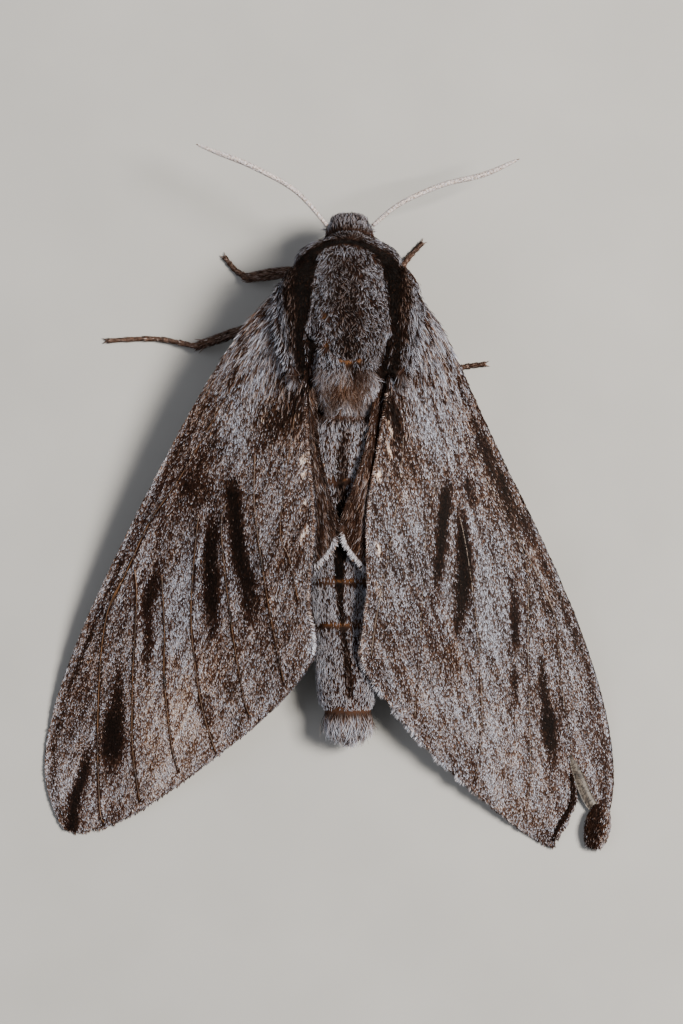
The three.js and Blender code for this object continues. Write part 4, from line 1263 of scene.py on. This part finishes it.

# %% [markdown]
# ## The body's pattern
# The thorax has a grey disc framed by two black-brown bands on the tegulae and a black arc behind the
# collar. The abdomen is grey-brown with a dark line along its back and orange-brown skin at its rings' edges,
# and ends in a fan of long whitish hair. A thin black line at the neck is painted shadow in the groove
# between head and collar, and the abdomen's flanks are painted lighter against the shade they lie in. The
# same function colours the skin and every hair. Lines are rows of x, y, half width and strength, and tufts
# are rows of x, y, their reach across and along, and tone; a few tufts are painted light.
# %% The lines and tufts of the body
BAND_LEFT = [[-2.9, 22.1, .42, 1], [-3.35, 21.3, .72, 1], [-3.65, 19.5, .7, 1], [-3.55, 18, .5, 1],
             [-3.65, 16.9, .38, 1], [-3.9, 15.6, .28, 1], [-3.75, 13.5, .36, 1], [-3.3, 10.9, .4, 1],
             [-2.7, 8.3, .4, 1]]
BAND_RIGHT = [[3.2, 22.1, .42, 1], [3.75, 21.5, .55, 1], [4.05, 20.5, .66, 1], [4.25, 19.6, .58, 1],
              [4.25, 18.4, .42, 1], [4.2, 17.3, .38, 1], [4.3, 16.4, .36, 1], [4.5, 14.8, .3, .95],
              [4.35, 13, .32, .95], [4, 11.5, .38, .9], [3.4, 9, .35, .8]]
NOTCHES = [[[-3.3, 15, .15, 1], [-2.6, 14.3, .15, .9], [-3, 13.3, .15, 1]],
           [[3.9, 14.9, .15, 1], [3.6, 13.4, .15, .9], [3.1, 11.8, .15, .8]]]
BROWN_LEFT = [[-4.6, 21, .4, .7], [-4.8, 19.5, .4, .75], [-4.4, 17.5, .4, .65], [-4.3, 14.5, .35, .5]]
BROWN_RIGHT = [[4.7, 21.2, .3, .8], [5.2, 19.5, .35, .75], [5, 17.8, .35, .65], [4.9, 15, .3, .5]]
ARC = [[-2.9, 22.35, .2, 1], [-1.7, 23.05, .17, 1], [-.4, 23.35, .14, 1], [.9, 23.25, .15, 1],
       [2.3, 22.7, .22, 1], [3.3, 21.9, .3, 1]]
# Painted shadow: a thin black line in the groove between head and collar; the hair along it is short.
NECK_SHADOW = [[-2.3, 23.85, .04, .9], [-.9, 24.2, .05, 1], [.7, 24.22, .05, 1], [2.2, 23.95, .04, .9],
        [3, 23.5, .03, .7]]
STRIPE = [[.1, 8, .3, .3], [-.2, 5, .5, .6], [-.3, 1.5, .45, .7], [-.5, -3.2, .55, .9], [-.5, -5, .4, 1],
          [-.44, -7.7, .25, .8], [-.1, -10.3, .25, .8], [.26, -13, .35, .7], [.44, -15.8, .3, .5]]
DISC_DARK = [[.2, 21.4, 1, .3], [.2, 18.2, 1.1, .45], [.4, 14.2, .7, .5]]
RING_EDGES = [2.75, -6.0, -9.85, -17.25]
BALD_SPOTS = [[-1.8, 16.75, .3, .22], [-1.45, 14.4, .35, .28], [-.3, 13, .3, .22], [.3, 12.85, .45, .22],
              [1.25, 13, .35, .18]]
# Painted light: the rows at y -7.5 and -6 lighten the abdomen's flanks, which lie in shade, and the two at y
# 24.3 and 24.2 are the pale tufts beside the neck, made paler still against the shade there.
TUFTS_AND_PAINTED_LIGHT = [[-1.9, 10.9, .6, 1.2, .3], [2.3, 11, .5, 1.1, .3], [3.7, 15, .4, .9, .2],
              [-1.9, 13.6, .7, .6, .12], [-1.6, 21.5, .8, .9, .06], [2.6, 20.5, .7, 2.5, .05],
              [-2.2, 19, .5, 2.5, .05], [0, 10.8, 1.1, 1, -.12], [0, 9.1, 2.2, .6, .26],
              [.2, -14.5, 3, 2.2, -.14], [.2, 11.9, 1.2, .4, .08], [-2.9, -7.5, .7, 5, .14],
              [2.3, -6, .7, 5, .35], [-1.9, 24.3, .7, .7, .5], [2.5, 24.2, .6, .6, .45]]
BROWN_FAN = (0.05, 11.0, 1.1, 1.0)  # x, y and reach of the brown middle of the fan behind the disc
FAN_MIDDLE = (0.1, 13.6)  # x, y that the fan's hair spreads from
TAIL_FROM = -16.9
WAIST = 9.0  # y, where the abdomen's coat takes over

# %% [markdown]
# ### From place to tone
# Every hair asks the same functions how dark and how warm it is where it stands.
# %% Tone and warmth of the body
def line_darkness(rows, x, y):
    """How dark a body line makes x, y: rows are x, y, half width, strength."""
    distance, values = nearest_on_line(rows, x, y)
    return ease(1.2 * values[..., 0] + 0.08, 0.75 * values[..., 0], distance) * values[..., 1]


def black_lines(x, y):
    """1 on the sharp black bands and arc of the thorax."""
    return np.max([line_darkness(rows, x, y) for rows in (BAND_LEFT, BAND_RIGHT, ARC, *NOTCHES)], axis=0)


def on_flank(x, y):
    """1 on the sides of the abdomen, 0 on its back."""
    aside = np.abs(x - along(ABDOMEN, y)) / np.maximum(along(ABDOMEN, y, 2), 0.5)
    return ease(0.55, 0.85, aside) * ease(WAIST, 7, y) * ease(TAIL_FROM, TAIL_FROM + 1, y)


def body_pattern(x, y, z):
    """Mean tone and warmth of the body's coat."""
    tone = 0.48 + 0.1 * ease(14, 10, y) + 0.22 * ease(WAIST, 5, y)
    for *place, lighter in TUFTS_AND_PAINTED_LIGHT:
        tone = tone + lighter * hill(x, y, *place)
    tone = tone + 0.16 * (noise(x / 0.5, y / 0.9, 13) - 0.5) + 0.05 * ease(24.3, 24.8, y)
    tone = tone - 0.07 * ease(23.2, 23.6, y) * ease(24.3, 24.0, y)
    warm = 0.12 + 0.2 * ease(16, 8, y) + 0.18 * ease(24, 24.6, y) + 0.6 * hill(x, y, *BROWN_FAN)
    on_top = np.clip(ease(3.0, 5.0, z) + (y < 8), 0, 1)
    outside = ease(4.6, 5.6, np.abs(x - HEAD_X)) * ease(21, 19, y)
    # Painted light: the abdomen's flanks are 0.14 lighter, against the shade they lie in.
    tone = tone + 0.12 * outside + 0.14 * on_flank(x, y)
    brown = np.maximum(line_darkness(BROWN_LEFT, x, y), line_darkness(BROWN_RIGHT, x, y)) * on_top
    tone, warm = lerp(tone, 0.12, brown), lerp(warm, 0.75, brown)
    dark = black_lines(x, y)
    # The neck line is painted shadow; the stripe and the dark middle of the disc are the coat's own colour.
    for rows in (NECK_SHADOW, STRIPE, DISC_DARK):
        dark = np.maximum(dark, line_darkness(rows, x, y))
    tone = lerp(tone, 0.0, dark * on_top)
    # Painted shade: the head and thorax grow 0.12 darker low on their sides.
    tone = tone - 0.12 * ease(7.0, 4.5, z) * (y > 9)
    return np.clip(tone, 0, 1), np.clip(lerp(warm, 0.6, dark), 0, 1)


def body_bareness(x, y, z):
    """1 where the fur has rubbed off or the rings part and the orange-brown skin shows."""
    bare = np.zeros(np.shape(x))
    for cx, cy, rx, ry in BALD_SPOTS:
        bare = np.maximum(bare, ease(1.3, 0.4, np.hypot((x - cx) / rx, (y - cy) / ry)) * (z > 6) * 0.9)
    for edge in RING_EDGES:
        bare = np.maximum(bare, ease(0.11, 0.05, np.abs(y - edge)) * (0.85 if edge > TAIL_FROM else 0.5))
    return bare


# %% [markdown]
# ### The skin's own material
# Where hair is gone, the skin shows: amber-brown chitin, glossier than the coat. Between the hairs' roots it
# takes the coat's own colours at a third of their tone, a painted shade under the coat. The material mixes
# both colours by the same bareness that thins the hair, and pebbles the chitin.
# %% Give the skin its material
SKIN_GRAIN = 0.12  # mm


def skin_material():
    material, tree = new_material("body chitin under fur")
    grain = pattern(tree, "TexNoise", SKIN_GRAIN, "Fac", Detail=3.0)
    bare = attribute(tree, "bare")
    amber = ramp(tree, grain, [(0.3, "2e1a0b"), (0.7, "70441c")])
    colour = mixed(tree, bare, ramp(tree, attribute(tree, "tone"), WARM_SCALES), amber)
    dullness = add_node(tree, "MapRange", {"Value": bare, "To Min": 0.9, "To Max": 0.45}).outputs["Result"]
    close(tree, colour, dullness, shine=0.15, height=grain, rise=0.03)
    return material


skin_mesh.materials.clear()
skin_mesh.materials.append(skin_material())
places = to_plan(read(skin_mesh.vertices, "co", 3)).T
# Painted shade: under the fur the skin takes a third of the coat's tone.
add_attribute(skin_mesh, "tone", body_pattern(*places)[0] * 0.32)
add_attribute(skin_mesh, "bare", body_bareness(*places))

# %% [markdown]
# ## Body fur
# The fur lies back over the thorax and abdomen, forward on the crown of the head, and outward over the wing
# roots. It is longest at the tail and shortest on the face and between the rings. Each hair is dark at its
# root and pale at its tip: partly the hairs' own pale tips, partly painted shade deep in the coat.
# %% Lie of the fur
def fur_lie(points, normals, rng):
    """The lie of the fur at each root."""
    x, y, z = points.T
    aside = x - HEAD_X
    count = len(x)
    zero = np.zeros(count)
    lies = lambda across, ahead, up=0.0: np.stack([across + zero, ahead + zero, up + zero], axis=-1)
    on_disc = ease(13, 15, y) * ease(24.4, 23, y) * ease(3.6, 2.8, np.abs(aside))
    on_tegula = ease(3.8, 5.4, np.abs(aside)) * ease(9, 11, y)
    parting = np.interp(x, *np.array(ARC).T[:2])
    on_collar = ease(-0.05, 0.1, y - parting) * ease(24.4, 24.0, y)
    on_fan = ease(13.2, 12.6, y) * ease(7.8, 9.5, y) * ease(3.6, 3.0, np.abs(aside))
    lie = lies(0.16 * aside * on_disc, -1.0)
    for share, other in (
            (on_tegula * ease(20.5, 18, y), lies(0.8 * np.tanh(aside), -1.8)),
            (on_fan, unit(lies(0.9 * (x - FAN_MIDDLE[0]), y - FAN_MIDDLE[1] - 1.5))),
            (on_collar, lies(0.4 * aside, 0.7 - 0.35 * np.abs(aside), 0.2)),
            (ease(24.0, 24.4, y), lies(0.3 * aside, 1.0, 0.2))):
        lie = lerp(lie, other, share[:, None])
    lie[:, 0] += 0.14 * aside * (y < TAIL_FROM)
    curl = 2.6 * (noise(x / 0.35, y / 0.35, 14) - 0.5) * on_disc
    return turned(tangent(lie, normals), normals, rng.normal(0, 0.25, count) * (1 + 0.3 * on_fan) + curl)


# %% [markdown]
# ### How long the fur is
# Hairs stop short of the black lines and of the rings' edges, so that both stay sharp.
# %% Length of the fur
def fur_length(x, y, z):
    """Length of the fur in mm."""
    aside = np.abs(x - HEAD_X)
    outer = ease(4.4, 5.8, aside) * ease(10, 13, y)
    length = lerp(0.65, 1.3, outer * ease(20.5, 17.5, y))
    length = lerp(length, 0.4, ease(4.2, 5.0, aside) * ease(19, 20.5, y))
    length = lerp(length, 1.35, ease(12.9, 12.3, y))
    length = lerp(length, 0.55 + 0.3 * on_flank(x, y), ease(WAIST, 7, y))
    length = lerp(length, 0.7, ease(23.5, 24.5, y))
    length = lerp(length, 0.45, ease(6.5, 4.0, z) * ease(23.5, 24.5, y))
    length = lerp(length, 0.3, np.maximum(black_lines(x, y), line_darkness(NECK_SHADOW, x, y)) * (y > WAIST))
    length = lerp(length, 0.2, line_darkness(ARC, x, y))
    below_neck = ease(22.5, 22.9, y) * ease(24.3, 24.2, y)
    to_neck = nearest_on_line(NECK_SHADOW, x, y)[0]
    length = lerp(length, np.minimum(length, 0.15 + to_neck), below_neck)
    on_tail = ease(TAIL_FROM + 0.1, TAIL_FROM - 0.3, y)
    length = lerp(length, 2.3 + 0.25 * np.minimum(y - TAIL_FROM, 0), on_tail)
    for edge in RING_EDGES:
        before = y - edge
        length = np.where((before > 0) & (before < 0.8), np.minimum(length, 0.2 + before), length)
    return length


# %% [markdown]
# ### The pieces of fur
# Shades are the tones of a hair's five points, from its sunk root to its tip, as shares of its own tone. The
# dark roots are partly painted shade deep in the coat.
# %% Cover the body in fur
SHADES = {"fur": np.array([0.1, 0.6, 0.6, 0.75, 1.35]), "tail": np.array([0.2, 0.75, 0.75, 0.9, 1.4]),
          "silk": np.array([0.4, 0.75, 0.75, 0.85, 1.15]), "face": np.array([0.3, 0.7, 0.7, 0.85, 1.15])}


def fur_piece(name, per_mm2, inside, seed):
    """One piece of the body's fur, on the skin where inside(y) holds."""
    rng = np.random.default_rng(seed)
    chance = lambda x, y, z, nx, ny, nz: inside(y) * lerp(0.3, 1, ease(-0.3, 0.4, nz)) * lerp(
        1, 0.3, ease(TAIL_FROM - 0.4, TAIL_FROM - 1.6, y))
    roots, normals, uv = scatter(surface_of(skin_mesh), per_mm2, rng, chance)
    lie = fur_lie(roots, normals, rng)
    length = fur_length(*roots.T)
    reach = [roots + lie * (length * share)[:, None] for share in (0, 0.35, 0.7, 1)]
    kept = rng.random(len(roots)) > np.max([body_bareness(*places.T) for places in reach], axis=0)
    on_way = np.max([black_lines(*places.T[:2]) for places in reach], axis=0)
    inner = (np.abs(roots[:, 0] - HEAD_X) < 3.6) | (roots[:, 1] > 21)
    black = np.where(inner, on_way, black_lines(*roots.T[:2])) * (roots[:, 2] > 4.5) * (roots[:, 1] > WAIST)
    roots, normals, uv, lie, length, black = (
        values[kept] for values in (roots, normals, uv, lie, length, black))
    count = len(roots)
    length = length * rng.uniform(0.75, 1.2, count)
    on_tail = ease(TAIL_FROM + 0.1, TAIL_FROM - 0.4, roots[:, 1])
    width = rng.uniform(0.04, 0.065, count) * (1 + 0.6 * on_tail)
    rise = rng.uniform(0.12, 0.45, count)
    rise = lerp(rise, 0.12, ease(1.2, 1.7, length) * (roots[:, 1] < WAIST))
    on_fan = ease(13.0, 12.4, roots[:, 1]) * ease(7.8, 9.5, roots[:, 1])
    rise = rise * lerp(1, 0.45, on_fan) + 0.4 * on_flank(*roots.T[:2])
    parts = bent_hairs(roots, normals, uv, lie, length, width, rise, rise * 0.4)
    tone, warm = body_pattern(*roots.T)
    from_fan = roots[:, :2] - FAN_MIDDLE - [0, 1.5]
    silk = noise(np.arctan2(*from_fan.T) / 0.06, np.hypot(*from_fan.T) / 2.5, 16) - 0.5
    locks = noise(roots[:, 0] / 0.13, roots[:, 1] / 4, 15) - 0.5
    tone = (lerp(tone, 0.72 + 0.7 * locks, on_tail) + 0.6 * silk * on_fan) * (1 - black)
    pale = rng.random(count) < 0.92 * tone
    tones = np.where(pale, 0.33 + 0.7 * tone, 0.3 * tone) + rng.normal(0, 0.05 - 0.02 * black)
    tones = lerp(tones, 0.85 * tone, np.maximum(0.6 * on_fan, 0.5 * on_tail))
    tones = np.where(rng.random(count) < 0.08 * black, 0.2, tones)
    shade = lerp(lerp(SHADES["fur"], SHADES["tail"], on_tail[:, None]), SHADES["silk"], on_fan[:, None])
    shade = lerp(shade, SHADES["face"], ease(24.2, 24.6, roots[:, 1])[:, None])
    # Less painted shade at the roots where the hair parts between head and collar.
    shade[:, 0] += 0.3 * np.exp(-(((roots[:, 1] - 24.4) / 0.35) ** 2)) * (roots[:, 2] > 6)
    warmth = np.clip(warm + np.where(pale, -0.15, 0.15) + rng.normal(0, 0.15, count), 0, 1)
    return coat_piece(name, parts, np.clip(tones[:, None] * shade, 0, 1), warmth, fur_scales, "body_fur")


fur_piece("body_fur_head", 150, lambda y: y > 19, 51)
fur_piece("body_fur_thorax", 140, lambda y: (y > WAIST) & (y <= 19), 53)
fur_piece("body_fur_abdomen", 84, lambda y: y <= WAIST, 52)

# %% [markdown]
# ## Eyes
# A hawk moth's eyes are large dark domes of thousands of facets, each about 0.025 mm across. They are drawn
# three times as coarse, as cells that break up the highlight and give the eye its dull gleam.
# %% Compound eyes
EYE_RADIUS = 1.45
FACET = 0.075  # mm
HEAD_CENTRE = np.array([HEAD_X, 22.9, 6.5])
EYE_OFFSET = np.array([1.65, -0.15, -0.8])


def eye_material():
    material, tree = new_material("compound eye lens")
    facets = pattern(tree, "TexVoronoi", FACET, "Distance")
    colour = ramp(tree, facets, [(0.0, "2a1a12"), (0.7, "0c0705")])
    close(tree, colour, 0.2, height=facets, strength=0.6, invert=True)
    return material


eye_lens = eye_material()
for side, label in SIDES.items():
    ball = bmesh.new()
    bmesh.ops.create_icosphere(ball, subdivisions=5, radius=(EYE_RADIUS - 0.03) * MM)
    centre = to_frame(HEAD_CENTRE + EYE_OFFSET * [side, 1, 1])
    bmesh.ops.translate(ball, verts=ball.verts, vec=centre)
    mesh = as_mesh("eye", ball)
    mesh.polygons.foreach_set("use_smooth", np.ones(len(mesh.polygons), bool))
    place_piece(f"compound_eye_{label}", mesh, eye_lens, [f"eye_{label}"])

# %% [markdown]
# ## Antennae
# Each feeler is a rod of short segments that thickens towards its tip and ends in a thin hook, white with
# scales above and toothed like a saw below. Its radius pulses once for each segment.
# %% Segmented feelers
FEELERS = {
    LEFT: [[-1.55, 24.8, 8.4], [-4.3, 27.75, 9], [-8.1, 29.9, 8.9], [-11.1, 31.15, 8.2],
           [-12.9, 31.9, 7.7]],
    RIGHT: [[2.4, 24.8, 8.2], [4.75, 26.7, 8], [8.4, 28.4, 7.2], [12.1, 29.4, 6.4], [15.2, 30.8, 5.9]],
}
FEELER_RADII = [[0, .13], [.1, .14], [.5, .17], [.75, .18], [.9, .12], [1, .04]]
SEGMENT = 0.3  # mm
FEELER_SCALES = 3200
feeler_chitin = chitin_material("feeler chitin", "3d2b22", "6b5345", 0.55, 0.1)
for side, label in SIDES.items():
    rng = np.random.default_rng(61 + side)
    path = spline(FEELERS[side], 260)
    share = np.linspace(0, 1, len(path))
    reach = length_of(path).sum()
    radii = along(FEELER_RADII, share) * (1 + 0.12 * np.abs(np.sin(math.pi * share * reach / SEGMENT)))
    parts = [tube(path, radii, 10)]
    directions = unit(np.gradient(path, axis=0))
    for i in range(6, int(reach / SEGMENT * 0.96)):
        at = int(i * SEGMENT / reach * (len(path) - 1))
        across = unit(np.cross(directions[at], UP))
        for turn in (-1, 1):
            tip = path[at] + across * turn * radii[at] * 0.9 + directions[at] * 0.1 - UP * radii[at] * 1.5
            parts.append(tube([path[at], (path[at] + tip) / 2, tip], [0.09, 0.07, 0.02], 5))
    add_piece(f"feeler_{label}", feeler_chitin, "antenna", *joined(parts), [f"antenna_{label}"])
    at = rng.integers(0, int(len(path) * 0.97), FEELER_SCALES)
    angle = rng.uniform(-1.9, 1.9, FEELER_SCALES)
    lie, aside, above = around(path, at, angle)
    normals = aside + above
    roots = path[at] + normals * radii[at][:, None]
    uv = np.stack([at / len(path) * 0.96 + 0.02, 0.5 + angle * 0.25], axis=-1)
    length = rng.uniform(0.16, 0.26, FEELER_SCALES)
    ring = np.sin(math.pi * at / len(path) * reach / SEGMENT) ** 2
    tone = 0.78 + 0.2 * ring - 0.4 * ease(1.0, 1.9, np.abs(angle))
    tones = np.clip(tone + rng.normal(0, 0.12, FEELER_SCALES), 0, 1)
    warmth = np.clip(rng.normal(0.6, 0.2, FEELER_SCALES), 0, 1)
    parts = kites(roots, normals, uv, lie, length, 0.075, length * 0.12)
    coat_piece(f"feeler_{label}_scales", parts, tones, warmth, fur_scales, "antenna")

# %% [markdown]
# ## Legs
# Six legs, each a thigh, a shin with spurs, and a foot of five small segments with two claws. The solids
# are plain tubes; here each leg is one piece with swollen joints and curved claws, under flat brown scales.
# Each leg's row holds its joints, how shaggy it is, how far its foot curls, and where its spurs are.
# %% The six legs
LEGS = {
    "front_left": ([[-1.6, 19.6, 3.3], [-4, 21.2, 4.3], [-8.5, 20.75, .9], [-10.6, 22.5, .16]], 1.35, .25,
                   []),
    "front_right": ([[2.2, 19.6, 3.3], [4, 20.3, 4.1], [5, 21.6, .9], [6.75, 23.75, .16]], 1, .1, []),
    "middle_left": ([[-2.6, 16.2, 2.2], [-7, 16.6, 4], [-13.2, 14.65, .9], [-21, 15.2, .16]], 1, -.45,
                    [.8]),
    "middle_right": ([[3.1, 16, 2.2], [6.2, 15, 3.6], [9.2, 12.3, .9], [12.3, 13.1, .16]], 1, .2, [.8]),
    "hind_left": ([[-2.4, 12, 2.2], [-5.6, 8.6, 3.3], [-8.2, .4, .9], [-11.6, -6.4, .16]], 1, .5,
                  [.55, .85]),
    "hind_right": ([[2.6, 12, 2.2], [5.8, 8.6, 3.3], [8.2, .4, .9], [11.2, -6.6, .16]], 1, -.5, [.55, .85]),
}
THIGH_RADIUS, SHIN_RADIUS, FOOT_RADIUS = 0.5, 0.36, 0.22
FOOT_SEGMENTS = 5


def limb(start, end, radius, bow=0.1):
    """A bowed tube between two joints, thickest before its middle."""
    middle = (start + end) / 2 + np.array([0, 0, bow])
    path = spline([start, middle, end], 24)
    share = np.linspace(0, 1, 25)
    radii = radius * (0.72 + 0.4 * np.sin(math.pi * share**0.8)) * (1 + 0.25 * ease(0.9, 1, share))
    return path, radii


def foot_path(ankle, toe, curl):
    """The foot's path, lying on the floor, and its radii pulsing once for each segment."""
    way = toe - ankle
    aside = unit(np.array([-way[1], way[0], 0.0]))
    middle = lerp(ankle, toe, 0.45) + aside * curl
    middle[2] = FOOT_RADIUS
    end = toe.copy()
    end[2] = FOOT_RADIUS * 0.8
    path = spline([ankle, middle, end], 60)
    share = np.linspace(0, 1, 61)
    swell = (share * FOOT_SEGMENTS) % 1.0
    return path, FOOT_RADIUS * (0.75 + 0.4 * swell**2) * lerp(1.15, 0.85, share)


def spike(root, way, length, radius, turn, drop):
    """A tapering spike that leaves a root beside a direction."""
    c, s = math.cos(turn), math.sin(turn)
    ahead = unit(np.array([way[0], way[1], 0.0]))
    ahead = np.array([ahead[0] * c - ahead[1] * s, ahead[0] * s + ahead[1] * c, 0.0])
    path = spline([root, root + ahead * length * 0.5, root + ahead * length - np.array([0, 0, drop])], 8)
    return tube(path, radius * np.linspace(1, 0.12, 9), 7)


# %% [markdown]
# ### Skin and scales of the legs
# Spurs and claws come in pairs, turned to both sides of the limb.
# %% Build the legs
SPUR_TURN, CLAW_TURN = math.radians(28), math.radians(26)
leg_chitin = chitin_material("leg chitin", "2c1a10", "5a3a26", 0.45, 0.12)
for label, (joints, fur, curl, spurs) in LEGS.items():
    rng = np.random.default_rng(71 + len(label) + int(joints[0][0] * 10))
    hip, knee, ankle, toe = np.array(joints, float)
    thigh, shin = limb(hip, knee, THIGH_RADIUS), limb(knee, ankle, SHIN_RADIUS)
    foot = foot_path(ankle, toe, curl)
    parts = [tube(*piece, 12) for piece in (thigh, shin, foot)]
    for share in spurs:
        at = lerp(knee, ankle, share)
        parts += [spike(at, ankle - knee, 1.4, 0.12, turn, 0.35) for turn in (-SPUR_TURN, SPUR_TURN)]
    toe_at, toe_way = foot[0][-1], foot[0][-1] - foot[0][-8]
    parts += [spike(toe_at, toe_way, 0.6, 0.09, turn, 0.1) for turn in (-CLAW_TURN, CLAW_TURN)]
    name = f"leg_{label}"
    nodes = [f"{name}_{piece}" for piece in ("femur", "tibia", "tarsus")]
    add_piece(name, leg_chitin, "leg", *joined(parts), nodes)
    shapes = []
    for (path, radii), count, shaggy in ((thigh, 700, fur), (shin, 1100, fur * 1.2), (foot, 900, 0.5)):
        at = rng.integers(1, len(path) - 1, count)
        angle = rng.uniform(0, 2 * math.pi, count)
        lie, aside, above = around(path, at, angle)
        normals = aside + above
        roots = path[at] + normals * radii[at][:, None] + lie * rng.uniform(-0.1, 0.1, count)[:, None]
        roots[:, 2] = np.maximum(roots[:, 2], 0.06)
        uv = np.stack([at / len(path) * 0.3 + 0.02 + 0.32 * len(shapes), angle / 6.4 * 0.96 + 0.01], axis=-1)
        length = rng.uniform(0.3, 0.55, count) * shaggy
        shapes.append([roots, normals, uv, lie, length, length * 0.2])
    *shape, lift = [np.concatenate(values) for values in zip(*shapes)]
    tones = np.clip(0.34 + rng.normal(0, 0.14, len(lift)), 0, 1)
    coat_piece(f"{name}_scales", kites(*shape, 0.1, lift), tones, 0.6, fur_scales, "leg")

# %% [markdown]
# ## The tongue
# A nectar-feeding moth's tongue is a double tube rolled up under its face like a watch spring. The solid's
# coil is the right shape, so it stays and takes bare brown chitin.
# %% Finish the tongue
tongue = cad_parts["proboscis"]
tongue_chitin = chitin_material("tongue chitin", "3c2212", "7a4c28", 0.35, 0.2)
for slot in tongue.material_slots:
    slot.material = tongue_chitin

# %% [markdown]
# ## Floor, light and camera
# The moth sits on a plain pale floor. One soft lamp stands to its right and a little ahead, a bit more than
# half way up, so that scales and fur throw short shadows to the left; a weaker one fills from the left. The
# camera looks straight down with a long lens, so the wings keep their true plan.
# %% The stage
FLOOR_WIDTH = 1.2
CAMERA_PLACE = np.array([-0.31, 0.0, 340.0])  # mm on the plan
PICTURE_HEIGHT = 90.1  # mm of the plan that the picture's height covers
PICTURE_LEVEL = 3.0  # mm above the floor, where that holds
SENSOR = 36.0
PAINT_IOR = 1.5


def paint_material():
    """Matt emulsion paint, with the faint cloudiness of a rolled coat."""
    material, tree = new_material("matt floor paint")
    clouds = pattern(tree, "TexNoise", 12, "Fac", Detail=3.0)
    close(tree, ramp(tree, clouds, [(0.3, "a3a19d"), (0.7, "a9a7a3")]), 0.9, PAINT_IOR)
    return material


def lamp(name, direction, distance, size, watts, colour):
    """A square soft lamp that faces the moth."""
    data = bpy.data.lights.new(name, "AREA")
    data.size = size
    data.energy = watts
    data.color = linear(colour)[:3]
    light = link(name, data)
    light.location = unit(np.array(direction, float)) * distance
    light.rotation_euler = light.location.to_track_quat("Z", "Y").to_euler()


half = FLOOR_WIDTH / 2
floor_mesh = bpy.data.meshes.new("floor")
floor_corners = [(-half, -half, 0), (half, -half, 0), (half, half, 0), (-half, half, 0)]
floor_mesh.from_pydata(floor_corners, [], [(0, 1, 2, 3)])
floor_mesh.materials.append(paint_material())
floor = link("floor", floor_mesh)
floor.location.z = -0.02 * MM
floor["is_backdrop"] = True

lamp("softbox", (0.6, 0.15, 0.8), 0.5, 0.16, 6.4, "fffaf2")
lamp("fill", (-0.8, 0.2, 0.9), 0.7, 0.5, 1.3, "eef3ff")
world = bpy.data.worlds.new("studio")
world.use_nodes = True
world.node_tree.nodes["Background"].inputs["Color"].default_value = linear("e4e6ea")
world.node_tree.nodes["Background"].inputs["Strength"].default_value = 0.3
bpy.context.scene.world = world

camera_data = bpy.data.cameras.new("camera")
camera_data.sensor_width = SENSOR
camera_data.lens = SENSOR * (CAMERA_PLACE[2] - PICTURE_LEVEL) / PICTURE_HEIGHT
camera_data.clip_start = 0.01
camera = link("camera", camera_data)
camera.location = to_frame(CAMERA_PLACE)
bpy.context.scene.camera = camera
print("lens:", round(camera_data.lens, 1), "mm")

visual_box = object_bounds()
sizes = {"cad": [list(corner) for corner in cad_box], "visual": [list(corner) for corner in visual_box]}
for label, (low, high) in sizes.items():
    print(label, "size in mm:", [round((b - a) / MM, 2) for a, b in zip(low, high)])
triangles = sum(len(piece.data.polygons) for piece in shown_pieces() if piece.type == "MESH")
print("faces in all:", triangles)
